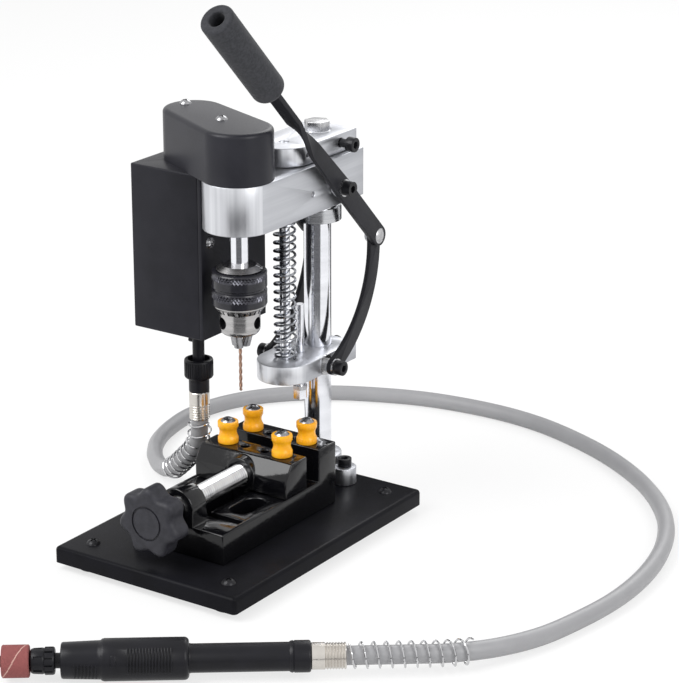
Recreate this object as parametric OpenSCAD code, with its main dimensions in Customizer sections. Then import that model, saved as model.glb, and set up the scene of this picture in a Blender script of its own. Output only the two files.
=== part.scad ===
// Mini drill press: lever-fed head on a round column, drill vice, and a flexible shaft with a handpiece.
// Millimetres, +Z up, +Y to the back, operator at -Y.
// Origin: centre of the base plate, on the surface that the feet stand on.

/* [Base] */
// Width of the base plate, left to right
base_w = 125; // [120:1:160]
// Depth of the base plate, front to back
base_d = 185; // [178:1:240]
// Outside height of the folded skirt
base_skirt = 9.5; // [8.5:0.5:16]
// Thickness of the base sheet
base_sheet = 2; // [1.2:0.1:2.6]
// Outside radius of the base bends
base_bend = 3; // [2.8:0.1:5]
// Height of the feet below the skirt
foot_drop = 4.5; // [3:0.5:10]
// Diameter of a rubber foot
foot_d = 20; // [14:0.5:22]
// Distance of a foot's centre from the base edges
foot_inset = 15.5; // [14:0.5:22]

/* [Column and arms] */
// Diameter of the column
column_d = 16; // [14:0.5:17]
// Height of the column above the base plate
column_h = 212.5; // [208:0.5:260]
// Distance of the column's axis from the rear edge of the base
column_inset = 16.5; // [16:0.5:24]
// Diameter of the column flange's hub
hub_d = 28; // [24:0.5:30]
// Height of the column flange's hub
hub_h = 16; // [13:0.5:24]
// Thickness of the column flange's ears
ear_t = 10.5; // [6:0.5:12]
// Radius of an ear's round end
ear_r = 7; // [6:0.5:9]
// Distance of an ear screw from the column's axis
ear_offset = 19; // [18.5:0.5:24]
// Thickness of the lower arm and of the top plate
arm_t = 11; // [9:0.5:14]
// Half width of the lower arm and of the top plate
arm_r = 16.5; // [14:0.5:18]
// Length of both arms behind the column's axis
arm_tail = 16; // [12:0.5:20]
// Height of the lower arm's underside above the base plate
lower_arm_h = 72.7; // [68:0.1:80]
// Diameter of the guide rod
rod_d = 6; // [5:0.5:8]
// Distance from the column's axis to the guide rod's axis
rod_gap = 32.6; // [31:0.1:36]
// Diameter of the depth stop bolt
stop_d = 5; // [4:0.5:6]
// Distance from the column's axis to the depth stop bolt
stop_gap = 18; // [16:0.5:20]
// Height of the depth stop above the lower arm
stop_rise = 29; // [10:1:40]
// Length of the depth stop bolt below the lower arm
stop_tail = 12; // [8:0.5:18]

/* [Return spring] */
// Outside diameter of the return spring
spring_od = 13.5; // [12:0.1:16]
// Wire diameter of the return spring
spring_wire = 1.5; // [0.8:0.1:1.6]
// Turns of the return spring
spring_turns = 19; // [10:1:22]

/* [Head] */
// Width of the head arm
head_w = 40; // [38:0.5:46]
// Height of the head arm
head_h = 28; // [27:0.5:34]
// Length of the head arm behind the column's axis
head_tail = 18; // [16:0.5:24]
// Distance from the column's axis to the spindle's axis
throat = 76; // [74:0.5:90]
// Gap between the head and the top plate when the head is up
head_gap = 0.5; // [0.3:0.1:2]
// Outside diameter of the column bushes
bush_od = 28; // [24:0.5:30]
// Length of the lower column bush that shows below the head
bush_below = 13; // [6:0.5:18]
// Diameter of the spindle
spindle_d = 10.4; // [8:0.1:12]
// Outside diameter of a spindle bearing
bearing_od = 26; // [20:0.5:30]
// Width of a spindle bearing
bearing_w = 8; // [5:0.5:10]

/* [Chuck and drill] */
// Distance from the head's underside to the top of the chuck
chuck_drop = 21; // [10:0.5:26]
// Diameter of the chuck sleeve
chuck_d = 31; // [29:0.5:36]
// Length of the chuck sleeve with its toothed rim
sleeve_h = 24; // [20:0.1:28]
// Diameter of the chuck body below the sleeve
chuck_body_d = 23; // [20:0.5:24]
// Length of the chuck body below the sleeve
chuck_body_h = 13.2; // [12:0.1:20]
// Length of jaw that shows below the chuck body
jaw_show = 7.5; // [3:0.5:8]
// Teeth round the rim of the chuck sleeve
rim_teeth = 30; // [20:1:40]
// Diameter of the drill
drill_d = 2; // [0.8:0.1:3]
// Length of drill that shows below the jaws
drill_show = 27; // [15:0.5:30]

/* [Lever and links] */
// Width of the lever's flat bar
lever_w = 12; // [10:0.5:14]
// Thickness of the lever's bar
lever_t = 3; // [2:0.1:4]
// Width of the lever's bar above its twist
shank_w = 9; // [6:0.5:9.5]
// Length from the lever's pivot to its elbow
crank_len = 53; // [50:0.5:58]
// Tilt of the lever, from straight back through straight up
lever_tilt = 134.6; // [125:0.1:140]
// Length from the lever's pivot to the start of the twist
twist_from = 38; // [34:1:44]
// Length of the twisted stretch
twist_len = 28; // [20:1:30]
// Length from the lever's pivot to the grip
grip_from = 97; // [85:1:110]
// Length of the grip
grip_len = 67; // [50:1:90]
// Diameter of the grip
grip_d = 19; // [15:0.5:24]
// Diameter of the hollow in the grip's end
grip_hollow_d = 9; // [4:0.5:10]
// Distance from the column's axis forward to the lever's pivot
pivot_lead = 11.5; // [11.4:0.1:13]
// Height of the lever's pivot above the head's underside
pivot_rise = 11.8; // [10.5:0.1:13]
// Diameter of the lever's cross shaft
cross_shaft_d = 5; // [4:0.1:5.4]
// Distance from the column's axis forward to the link's lower pivot
link_lead = 16; // [14:0.5:18]
// Width of a link
link_w = 10; // [9:0.5:13]
// Thickness of a link
link_t = 2.8; // [2:0.1:4]
// Bulge of a link's arc behind its straight line
link_bulge = 12.5; // [6:0.5:16]
// Diameter of the elbow rivets
rivet_d = 4; // [3:0.1:4.5]
// Radial room round a rivet in the link, which lets the elbow slip
elbow_slack = 1.1; // [1:0.05:1.4]

/* [Motor and drive] */
// Width of the motor box
box_w = 49; // [46:0.5:60]
// Depth of the motor box
box_d = 60.5; // [56:0.5:80]
// Height of the motor box
box_h = 96.3; // [90:0.5:100]
// Distance from the spindle's axis forward to the front of the motor box
box_lead = 8; // [6:0.5:12]
// Wall of the motor box
box_wall = 1.2; // [0.8:0.1:1.6]
// Diameter of the motor
motor_d = 42; // [36:0.5:43]
// Length of the motor
motor_h = 66; // [50:1:70]
// Room between the motor and the left wall of the motor box
motor_room = 0.8; // [0.3:0.1:1.5]
// Distance from the spindle's axis back to the motor's axis
motor_back = 21.4; // [20.5:0.1:23]
// Diameter of the motor shaft
motor_shaft_d = 5; // [4:0.1:5.5]
// Radius of the pulley cover round the spindle
cover_r = 20; // [19.5:0.1:21]
// Radius of the pulley cover round the motor shaft
cover_end_r = 17.5; // [16:0.1:18]
// Height of the pulley cover
cover_h = 29.5; // [24:0.5:36]
// Wall of the pulley cover
cover_wall = 2; // [1:0.1:2.2]
// Rounding of the pulley cover's top edge
cover_round = 3; // [1:0.5:5]
// Seat radius of the spindle pulley
spindle_pulley_r = 13.5; // [12:0.5:15]
// Seat radius of the motor pulley
motor_pulley_r = 5.4; // [5:0.1:6.2]
// Width of the drive belt
belt_w = 6; // [4:0.5:7]
// Thickness of the drive belt
belt_t = 1.4; // [1:0.1:1.6]
// Diameter of the shaft outlet sleeve
outlet_d = 7; // [6.6:0.1:8]
// Length of the shaft outlet sleeve below the motor box
outlet_len = 32.7; // [28:0.1:36]
// Diameter of the coupling nut
nut_d = 17; // [14:0.5:20]
// Length of the coupling nut
nut_len = 12; // [10:0.5:16]
// Diameter of the collar below the coupling nut, and of the ferrule below it
ferrule_d = 12; // [11:0.5:13]
// Length of the collar below the coupling nut
collar_len = 8; // [5:0.5:10]
// Length of the ferrule below the collar
ferrule_len = 17; // [12:0.5:20]

/* [Vice] */
// Width of the vice
vice_w = 64; // [60:1:70]
// Distance from the spindle's axis forward to the front of the vice
vice_front = 61.5; // [60:0.5:68]
// Distance from the spindle's axis back to the rear of the vice
vice_rear = 48; // [46:0.5:50]
// Height of the vice's rails above the base plate
rail_h = 18; // [16:0.5:20]
// Width of a rail
rail_w = 26; // [24:0.5:27]
// Thickness of the vice's floor
floor_t = 6.5; // [5.5:0.5:8]
// Width of the long hole in a rail
rail_hole_w = 13; // [8:0.5:14]
// Length of the long hole in a rail
rail_hole_len = 25; // [16:0.5:26]
// Distance from a rail's long hole to the side of the vice
rail_hole_edge = 7.5; // [5:0.5:9]
// Distance from the front of the vice to the groove across its rails
groove_back = 18.5; // [17:0.5:20]
// Width of the groove across the rails
groove_w = 5; // [3:0.5:6]
// Height of the jaws above the base plate
jaw_h = 38; // [36:0.5:44]
// Thickness of the fixed jaw
fixed_jaw_t = 17; // [15:0.5:20]
// Gap between the jaws
jaw_gap = 12; // [10:0.5:14]
// Thickness of the moving jaw at its top
moving_jaw_t = 15; // [14:0.5:18]
// How far the moving jaw's foot runs forward of its top
moving_jaw_foot = 6; // [3:0.5:8]
// Diameter of the vice screw
screw_d = 12; // [10:0.5:13]
// Height of the vice screw's axis above the base plate
screw_rise = 27; // [26:0.5:29]
// Thickness of the front post
post_t = 13.5; // [10:0.5:15]
// Radius of the front post's round top
post_r = 11.5; // [10:0.5:14]
// Gap between the knob and the front post
knob_gap = 12.5; // [12:0.5:16]
// Radius over the knob's lobes
knob_r = 21; // [17:0.5:23]
// Length of the knob
knob_len = 14; // [12:0.5:18]
// Lobes of the knob
knob_lobes = 7; // [5:1:9]
// Diameter of a peg
peg_d = 12; // [9:0.5:13]
// Height of a peg above its jaw
peg_h = 13; // [12:0.5:22]
// Depth of the drawn-in waist of a peg
peg_waist = 1; // [0.5:0.1:1.5]
// Distance of a peg from the middle of the vice
peg_x = 19; // [18:0.5:23]
// Distance of a peg from its jaw's face
peg_inset = 6.2; // [6:0.1:8]
// Distance of an empty peg hole from the middle of the vice
spare_x = 7; // [5:0.5:9]
// Diameter of a peg's stem
stem_d = 5; // [4:0.1:5.5]
// Depth of a peg hole
stem_len = 9; // [6:0.5:10]

/* [Flexible shaft and handpiece] */
// Diameter of the flexible shaft's hose
hose_d = 10; // [8:0.5:10.4]
// Wire diameter of the hose guards
guard_wire = 1; // [0.6:0.1:1.2]
// Inside room between the hose and its guards
guard_room = 1; // [0.3:0.1:1.4]
// Turns of each hose guard
guard_turns = 10; // [6:1:10]
// Diameter of the handpiece's grip
hand_d = 22; // [20:0.5:22]
// Length of the handpiece's grip at its full diameter
hand_len = 45; // [35:1:60]
// Length of the handpiece's tapered nose
nose_len = 20; // [15:1:30]
// Diameter of the handpiece's nose at its end
nose_d = 18.8; // [17:0.1:19.5]
// Diameter of the handpiece's rear tube
rear_d = 15; // [13:0.5:18]
// Length of the handpiece's rear tube
rear_len = 51; // [40:1:70]
// Diameter of the ring that ends the rear tube
ring_d = 16.6; // [15.5:0.1:20]
// Length of the ring that ends the rear tube
ring_len = 11; // [8:0.5:14]
// Diameter of the handpiece's ferrule
hand_ferrule_d = 14; // [12:0.5:14.5]
// Length of the handpiece's ferrule
hand_ferrule_len = 18; // [16:0.5:20]
// Diameter of the collet nut
collet_d = 14.4; // [10:0.1:16]
// Length of the collet nut
collet_len = 13; // [10:0.5:18]
// Diameter of the sanding drum
drum_d = 16.9; // [10:0.1:19]
// Length of the sanding drum
drum_len = 14; // [8:0.5:20]

/* [Fits and fasteners] */
// Radial clearance of a shaft that runs in a hole
run = 0.05; // [0.02:0.01:0.08]
// Radial clearance of a piece that is fixed in a hole
fit = 0.02; // [0.01:0.01:0.05]
// Gap between pieces that move past each other
clear = 0.3; // [0.3:0.05:0.5]
// Diameter of the frame's socket screws
cap_d = 5; // [4:0.5:5]
// Diameter of the foot screws
foot_screw_d = 4; // [3:0.5:5]
// Diameter of the cover, peg and grub screws
small_d = 3; // [2:0.1:3]

/* [Hidden] */
$fn = 64;

// Colours
powder_black = [0.07, 0.07, 0.075];
gloss_black = [0.03, 0.03, 0.035];
oxide_black = [0.05, 0.05, 0.055];
rubber_grey = [0.2, 0.2, 0.21];
bright_alu = [0.8, 0.81, 0.83];
chrome = [0.86, 0.87, 0.9];
steel = [0.65, 0.66, 0.68];
bronze = [0.62, 0.45, 0.25];
orange = [0.95, 0.5, 0.07];
hose_grey = [0.6, 0.6, 0.62];
grit_red = [0.45, 0.17, 0.16];

// Heights and axes
base_top = foot_drop + base_skirt;
column_y = base_d / 2 - column_inset;
column_top = base_top + column_h;
spindle_y = column_y - throat;
rod_y = column_y - rod_gap;
stop_y = column_y - stop_gap;
lower_arm_z = base_top + lower_arm_h;
lower_arm_top = lower_arm_z + arm_t;
top_plate_z = column_top - arm_t;
head_top = top_plate_z - head_gap;
head_z = head_top - head_h;
motor_left = head_w / 2 + box_w - box_wall - motor_room - motor_d / 2;
motor_x = -motor_left;
motor_y = spindle_y + motor_back;
foot_x = base_w / 2 - foot_inset;
foot_y = base_d / 2 - foot_inset;

// Socket screw proportions
cap_head_d = 1.7 * cap_d;
cap_head_h = cap_d;
cap_key = 0.9 * cap_d;
thread_depth = 2 * cap_d;
washer_t = 1;
washer_d = 2 * cap_d;

// Pan head proportions
pan_head_d = 8;
pan_head_h = 2.6;
small_head_d = 7;
small_head_h = 2.2;
foot_screw_bite = 7;

// Hex bolt in the column's top end
hex_d = 8;
hex_head_d = 15;
hex_head_h = 5.3;
hex_bite = 14;
hex_turn = 19;

// Vice bolts, up through the base plate
vice_bolt_front = 30;
vice_bolt_bite = 5;
rail_hole_lead = 19;
groove_depth = 4;
groove_edge = 3.5;
peg_y_fixed = spindle_y + vice_rear - fixed_jaw_t + peg_inset;

// Lever, links and their pivots, as [y, z]
pivot = [column_y - pivot_lead, head_z + pivot_rise];
elbow = pivot - crank_len * [cos(lever_tilt), sin(lever_tilt)];
link_foot = [column_y - link_lead, lower_arm_z + arm_t / 2];
link_line = elbow - link_foot;
link_len = norm(link_line);
link_turn = atan2(link_line[1], link_line[0]);
link_r = (link_len * link_len / 4 + link_bulge * link_bulge) / (2 * link_bulge);
link_x = head_w / 2 + clear + 0.1;
lever_x = link_x + link_t + clear;
lever_mid = lever_x + lever_t / 2;
lever_end = lever_x + lever_t;
shank_into_grip = 30;
grip_round = 4;
grip_hollow = 24;
shaft_screw_bite = 8;
rivet_head_t = 1.6;
rivet_head_d = 9;

// Column bushes in the head, above and below the lever's cross shaft
shaft_room = 2.2;
bush_seat = pivot_rise - cross_shaft_d / 2 - shaft_room;
bush_upper = head_h - pivot_rise - cross_shaft_d / 2 - shaft_room;
column_room = 0.4;
rod_bush_od = rod_d + 4;

// Chuck
chuck_top = head_z - chuck_drop;
chuck_cone = 3;
sleeve_top = chuck_top - chuck_cone;
sleeve_z = sleeve_top - sleeve_h;
chuck_body_top = sleeve_z - clear;
chuck_nose = chuck_body_top - chuck_body_h;
chuck_core_r = chuck_body_d / 2 - 1.7;
nose_taper = 4;
jaw_tip = chuck_nose - jaw_show;
jaw_d = 5;
jaw_len = 18;
jaw_room = 8;
jaw_lean = 15;
jaw_grip = drill_d / 2 + fit;
jaw_start = 3;
jaw_turns = [50, 170, 290];
rim_h = 4.3;
taper_depth = 13;
key_hole_d = 7;
key_hole_depth = 3;
key_hole_rise = 7.7;
key_hole_turn = 76.5;
cone_r = chuck_d / 2 - 2.5;
drill_tip = jaw_tip - drill_show;
drill_in = 16;

// Drive
box_x = -head_w / 2 - box_w;
box_y = spindle_y - box_lead;
box_z = head_top - box_h;
motor_top = head_top - box_wall;
boss_d = 12;
boss_h = 2.4;
drive_len = norm([motor_left, motor_back]);
drive_turn = atan2(motor_back, -motor_left);
pulley_z = head_top + 5;
pulley_flange_t = 1.5;
pulley_seat = belt_w + 2;
pulley_h = pulley_seat + 2 * pulley_flange_t;
pulley_flange = 1.8;
cover_screw_room = 1.2;
cover_screw_past = 10;
cover_screw_near = spindle_pulley_r + pulley_flange + small_d / 2 + cover_screw_room;
cover_screw_far = drive_len + cover_screw_past;
cover_screw_bite = 8;
outlet_end = box_z - outlet_len;
outlet_flange_d = 14;
outlet_flange_t = 2;
nut_socket = 9;
nut_z = outlet_end + nut_socket - nut_len;
nut_rim = 3;
collar_z = nut_z - collar_len;
ferrule_z = collar_z - ferrule_len;
core_d = motor_shaft_d + 0.2;
socket_rise = 14;
socket_z = box_z + socket_rise;
socket_flange_d = 11;
socket_d = 8;
socket_len = 10;
box_screw_drop = 12;
box_screw_z = head_z - box_screw_drop;

// Vice
vice_y0 = spindle_y - vice_front;
vice_y1 = spindle_y + vice_rear;
fixed_face = vice_y1 - fixed_jaw_t;
moving_face = fixed_face - jaw_gap;
moving_front = moving_face - moving_jaw_t;
moving_toe = moving_front - moving_jaw_foot;
rail_top = base_top + rail_h;
jaw_top = base_top + jaw_h;
screw_z = base_top + screw_rise;
channel_w = vice_w - 2 * rail_w;
groove_y = vice_y0 + groove_back;
peg_y_moving = moving_face - peg_inset;
jaw_boss_r = screw_d / 2 + 4;
jaw_slope = 9;
screw_end = moving_face - 5;
knob_back = vice_y0 - knob_gap;
knob_front = knob_back - knob_len;
knob_grip = 9;
knob_cap_d = 20;
knob_cap_depth = 0.8;
lobe_r = 0.32 * knob_r;

// Route of the flexible shaft from the ferrule under the motor box to the handpiece:
// places from the motor's axis, and the share of the fall to the floor
ROUTE = [
    [0, 0, 0], [0, 0, 0.06], [-1.2, 0.6, 0.21], [-4.4, 2.2, 0.345], [-9.5, 4.9, 0.46], [-17, 8.5, 0.585],
    [-25, 12.5, 0.72], [-34, 17.5, 0.85], [-45, 24, 0.95], [-58, 33, 0.995], [-71, 46, 1], [-82, 64, 1],
    [-89, 86, 1], [-92, 110, 1], [-88, 136, 1], [-77, 159, 1], [-60, 179, 1], [-38, 196, 1],
    [-12, 209, 1], [16, 219, 1], [45, 224, 1], [75, 225, 1], [104, 221, 1], [132, 212, 1],
    [159, 200, 1], [184, 185, 1], [207, 167, 1], [227, 146, 1], [243, 123, 1], [255, 97, 1],
    [263, 69, 1], [267, 40, 1], [267, 11, 1], [263, -18, 1], [257, -46, 0.99], [247, -72, 0.96],
    [233, -94, 0.925], [217, -110, 0.9]
];
hose_lift = 0.2;
hose_floor = hose_d / 2 + hose_lift;
hose_start = [motor_x, motor_y, ferrule_z];
hose_fall = ferrule_z - hose_floor;
hand_turn = 216.5;
hand_dir = [cos(hand_turn), sin(hand_turn), 0];
hand_height = hand_d / 2;
hand_right = 191.4;
hand_front = 130.4;
hose_lead = 8;
hose_end = [hose_start[0] + hand_right, hose_start[1] - hand_front, hand_height];
hand_tail = hose_end + hand_ferrule_len * hand_dir;
hose_sides = 10;
hose_path = concat(
    [for (p = ROUTE) hose_start + [p[0], p[1], -hose_fall * p[2]]],
    [hose_end - hose_lead * hand_dir, hose_end]
);
hose_steps = [
    for (i = 0, s = 0; i < len(hose_path); s = s + step_to(hose_path, i + 1), i = i + 1) [s, i]
];
hose_length = hose_steps[len(hose_steps) - 1][0];
guard_len = 66;
guard_start = 1.6;
neck_d = 8;
neck_len = 3;
arbor_d = 6;
arbor_len = 24;
drum_screw_d = 6;
drum_screw_h = 1.4;

// Vector helpers
function unit(v) = v / norm(v);
function flatten(v, t) = unit(v - (v * t) * t);

// Length of the step that ends at point i of a path
function step_to(p, i) = i < len(p) ? norm(p[i] - p[i - 1]) : 0;

// Tangents of a path of points
function tangents(p) = [
    for (i = [0 : len(p) - 1]) unit(p[min(i + 1, len(p) - 1)] - p[max(i - 1, 0)])
];

// One sideways vector per point, carried along a path without twisting
function carried(t, start) = [
    for (i = 0, n = flatten(start, t[0]); i < len(t); i = i + 1, n = flatten(n, t[min(i, len(t) - 1)])) n
];

// A point at a fractional place along a path, on a smooth curve through its points
function curve_at(p, u) =
    let (
        k = min(floor(u), len(p) - 2),
        f = u - k,
        a = p[max(k - 1, 0)],
        b = p[k],
        c = p[k + 1],
        d = p[min(k + 2, len(p) - 1)]
    )
    0.5 * (2 * b + (c - a) * f + (2 * a - 5 * b + 4 * c - d) * f * f + (3 * b - a - 3 * c + d) * f * f * f);

// Smallest gap between turns of a wound wire, a half turn or more apart
function least_gap(p, wire, step) = min([
    for (i = [0 : len(p) - 1 - step]) for (j = [i + step : len(p) - 1]) norm(p[i] - p[j])
]) - wire;

// A wire's points round a path between two lengths along it, with straight ends one wire diameter long
function wound(path, steps, s0, s1, r, turns, wire, start) =
    let (
        count = 8 * turns,
        line = [for (i = [0 : count]) curve_at(path, lookup(s0 + (s1 - s0) * i / count, steps))],
        t = tangents(line),
        n = carried(t, start),
        coil = [
            for (i = [0 : count])
                line[i] + r * (cos(45 * i) * n[i] + sin(45 * i) * cross(t[i], n[i]))
        ]
    )
    concat(
        [coil[0] - wire * unit(coil[1] - coil[0])],
        coil,
        [coil[count] + wire * unit(coil[count] - coil[count - 1])]
    );

// A tube swept along a path of points
module tube(p, r, sides, start) {
    t = tangents(p);
    n = carried(t, start);
    m = len(p);
    ring = [
        for (i = [0 : m - 1]) for (k = [0 : sides - 1])
            p[i] + r * (cos(360 * k / sides) * n[i] + sin(360 * k / sides) * cross(t[i], n[i]))
    ];
    walls = [
        for (i = [0 : m - 2]) for (k = [0 : sides - 1])
            let (a = i * sides + k, b = i * sides + (k + 1) % sides)
            each [[a, a + sides, b], [b, a + sides, b + sides]]
    ];
    first = [for (k = [1 : sides - 2]) [0, k, k + 1]];
    last = [for (k = [1 : sides - 2]) let (z = (m - 1) * sides) [z, z + k + 1, z + k]];
    polyhedron(points = ring, faces = concat(walls, first, last), convexity = 10);
}

// Round bar along X
module bar_x(d, x0, x1) {
    translate([x0, 0, 0]) rotate([0, 90, 0]) cylinder(d = d, h = x1 - x0);
}

// Round bar along Y
module bar_y(d, y0, y1) {
    translate([0, y0, 0]) rotate([-90, 0, 0]) cylinder(d = d, h = y1 - y0);
}

// Block between two corners
module block(a, b) {
    translate(a) cube(b - a);
}

// A copy on each side of the middle plane
module both_sides() {
    children();
    mirror([1, 0, 0]) children();
}

// Socket head screw: head above the origin, shank below it
module cap_screw(d, length) {
    head_d = 1.7 * d;
    difference() {
        union() {
            cylinder(d = head_d, h = d);
            translate([0, 0, -length]) cylinder(d = d, h = length);
        }
        translate([0, 0, d / 2]) cylinder(d = 0.9 * d, h = d, $fn = 6);
    }
}

// Pan head screw with a cross recess: head above the origin, shank below it
module pan_screw(d, length, head_d, head_h) {
    dome = (head_d * head_d / 4 + head_h * head_h) / (2 * head_h);
    difference() {
        union() {
            rotate_extrude() intersection() {
                translate([0, head_h - dome]) circle(r = dome);
                square([head_d / 2, head_h]);
            }
            translate([0, 0, -length]) cylinder(d = d, h = length);
        }
        for (a = [0, 90]) rotate(a) {
            translate([-head_d / 4, -head_d / 16, head_h / 2]) cube([head_d / 2, head_d / 8, head_h]);
        }
    }
}

// Ring with a round hole, standing on the origin
module washer(outer, inner, thick) {
    difference() {
        cylinder(d = outer, h = thick);
        translate([0, 0, -1]) cylinder(d = inner, h = thick + 2);
    }
}

// Outline of two discs joined by their tangents, the second on the X axis
module belt_outline(r1, r2, distance) {
    lean = acos((r1 - r2) / distance);
    circle(r = r1);
    translate([distance, 0]) circle(r = r2);
    polygon([
        r1 * [cos(lean), sin(lean)],
        [distance, 0] + r2 * [cos(lean), sin(lean)],
        [distance, 0] + r2 * [cos(lean), -sin(lean)],
        r1 * [cos(lean), -sin(lean)]
    ]);
}

// Outline of a sheet box's side with both upper corners bent round
module bent_outline(width, z0, z1, r) {
    translate([-width / 2, z0]) square([width, z1 - r - z0]);
    translate([r - width / 2, z0]) square([width - 2 * r, z1 - z0]);
    for (s = [-1, 1]) translate([s * (width / 2 - r), z1 - r]) circle(r = r);
}

// Block with its four upper edges bent round
module bent_block(width, depth, z0, z1, r) {
    intersection() {
        rotate([90, 0, 0]) linear_extrude(depth, center = true) bent_outline(width, z0, z1, r);
        rotate([90, 0, 90]) linear_extrude(width, center = true) bent_outline(depth, z0, z1, r);
    }
}

// Places of the four feet
module at_feet() {
    for (x = [-foot_x, foot_x]) for (y = [-foot_y, foot_y]) translate([x, y, 0]) children();
}

// Places of the two bolts that hold the vice
module at_vice_bolts() {
    for (y = [spindle_y - vice_bolt_front, peg_y_fixed]) translate([0, y, base_top]) children();
}

// Places of the two screws in the flange's ears
module at_ears() {
    for (s = [-1, 1]) translate([s * ear_offset, column_y, base_top]) children();
}

// Plan of the lower arm and of the top plate
module arm_plan() {
    translate([0, rod_y]) circle(r = arm_r);
    translate([-arm_r, rod_y]) square([2 * arm_r, rod_gap + arm_tail]);
}

// Moves the lever's own frame, with Y along its bar, onto the head
module on_lever() {
    translate([0, pivot[0], pivot[1]]) rotate([lever_tilt, 0, 0]) children();
}

// Turns an outline drawn in Y and Z into a plate from x0, thick along X
module plate_x(x0, thick) {
    translate([x0, 0, 0]) rotate([90, 0, 90]) linear_extrude(thick) children();
}

module base_plate() {
    color(powder_black) difference() {
        bent_block(base_w, base_d, foot_drop, base_top, base_bend);
        bent_block(base_w - 2 * base_sheet, base_d - 2 * base_sheet, foot_drop - 1, base_top - base_sheet,
            base_bend - base_sheet);
        at_feet() cylinder(d = foot_screw_d + 2 * fit, h = 2 * base_top);
        at_ears() cylinder(d = cap_d + 2 * fit, h = 4 * base_sheet, center = true);
        at_vice_bolts() cylinder(d = cap_d + 2 * fit, h = 4 * base_sheet, center = true);
    }
}

module rubber_feet() {
    foot_h = base_top - base_sheet;
    edge = 1.5;
    color(rubber_grey) at_feet() difference() {
        rotate_extrude() polygon([
            [0, 0], [foot_d / 2 - edge, 0], [foot_d / 2, edge], [foot_d / 2, foot_h], [0, foot_h]
        ]);
        translate([0, 0, foot_h - foot_screw_bite]) {
            cylinder(d = foot_screw_d + 2 * fit, h = foot_screw_bite + 1);
        }
    }
}

module foot_screws() {
    color(oxide_black) at_feet() translate([0, 0, base_top]) {
        pan_screw(foot_screw_d, base_sheet + foot_screw_bite - 0.5, pan_head_d, pan_head_h);
    }
}

module column() {
    edge = 0.6;
    color(chrome) translate([0, column_y, base_top]) difference() {
        union() {
            cylinder(d = column_d, h = column_h - edge);
            translate([0, 0, column_h - edge]) cylinder(d1 = column_d, d2 = column_d - 2 * edge, h = edge);
        }
        translate([0, 0, column_h - hex_bite - 1]) cylinder(d = hex_d + 2 * fit, h = hex_bite + 2);
    }
}

module column_flange() {
    color(bright_alu) difference() {
        translate([0, column_y, base_top]) {
            cylinder(d = hub_d, h = hub_h);
            linear_extrude(ear_t) {
                square([2 * ear_offset, 2 * ear_r], center = true);
                for (s = [-1, 1]) translate([s * ear_offset, 0]) circle(r = ear_r);
            }
        }
        translate([0, column_y, base_top - 1]) cylinder(d = column_d + 2 * fit, h = hub_h + 2);
        at_ears() translate([0, 0, -1]) cylinder(d = cap_d + 2 * fit, h = ear_t + 2);
    }
}

module frame_screws() {
    arm_mid = arm_t / 2;
    link_head = lever_x + washer_t;
    grub_len = 8;
    clamp_stand = 5;
    color(oxide_black) {
        at_ears() translate([0, 0, ear_t]) cap_screw(cap_d, ear_t + base_sheet + 3);
        at_vice_bolts() translate([0, 0, -base_sheet]) rotate([180, 0, 0]) {
            cap_screw(cap_d, base_sheet + vice_bolt_bite);
        }
        translate([arm_r + clamp_stand, column_y, top_plate_z + arm_mid]) rotate([0, 90, 0]) {
            cap_screw(cap_d, arm_r + clamp_stand - column_d / 2 - clear);
        }
        translate([0, column_y + arm_tail, lower_arm_z + arm_mid]) rotate([-90, 0, 0]) {
            cap_screw(cap_d, arm_tail - column_d / 2 - clear);
        }
        translate([0, rod_y, top_plate_z + arm_mid]) {
            bar_x(small_d, rod_d / 2 + clear, rod_d / 2 + clear + grub_len);
        }
        both_sides() translate([link_head, link_foot[0], link_foot[1]]) rotate([0, 90, 0]) {
            cap_screw(cap_d, link_head - arm_r + cap_d);
        }
        translate([0, column_y, column_top]) rotate(hex_turn) {
            cylinder(d = hex_head_d, h = hex_head_h, $fn = 6);
            translate([0, 0, -hex_bite]) cylinder(d = hex_d, h = hex_bite + hex_head_h / 2);
        }
    }
}

// Bores shared by the lower arm and the top plate
module arm_bores(z) {
    translate([0, column_y, z - 1]) cylinder(d = column_d + 2 * fit, h = arm_t + 2);
    translate([0, rod_y, z - 1]) cylinder(d = rod_d + 2 * fit, h = arm_t + 2);
}

module lower_arm() {
    color(bright_alu) difference() {
        translate([0, 0, lower_arm_z]) linear_extrude(arm_t) arm_plan();
        arm_bores(lower_arm_z);
        translate([0, stop_y, lower_arm_z - 1]) cylinder(d = stop_d + 2 * fit, h = arm_t + 2);
        translate([0, column_y, lower_arm_z + arm_t / 2]) bar_y(cap_d + 2 * fit, 0, arm_tail + 1);
        both_sides() translate([0, link_foot[0], link_foot[1]]) {
            bar_x(cap_d + 2 * fit, arm_r - cap_d - clear, arm_r + 1);
        }
    }
}

module top_plate() {
    color(bright_alu) difference() {
        translate([0, 0, top_plate_z]) linear_extrude(arm_t) arm_plan();
        arm_bores(top_plate_z);
        translate([0, column_y, top_plate_z + arm_t / 2]) bar_x(cap_d + 2 * fit, 0, arm_r + 1);
        translate([0, rod_y, top_plate_z + arm_t / 2]) bar_x(small_d + 2 * fit, 0, arm_r + 1);
    }
}

module guide_rod() {
    color(chrome) translate([0, rod_y, lower_arm_z]) cylinder(d = rod_d, h = column_top - lower_arm_z - 1);
}

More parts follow.
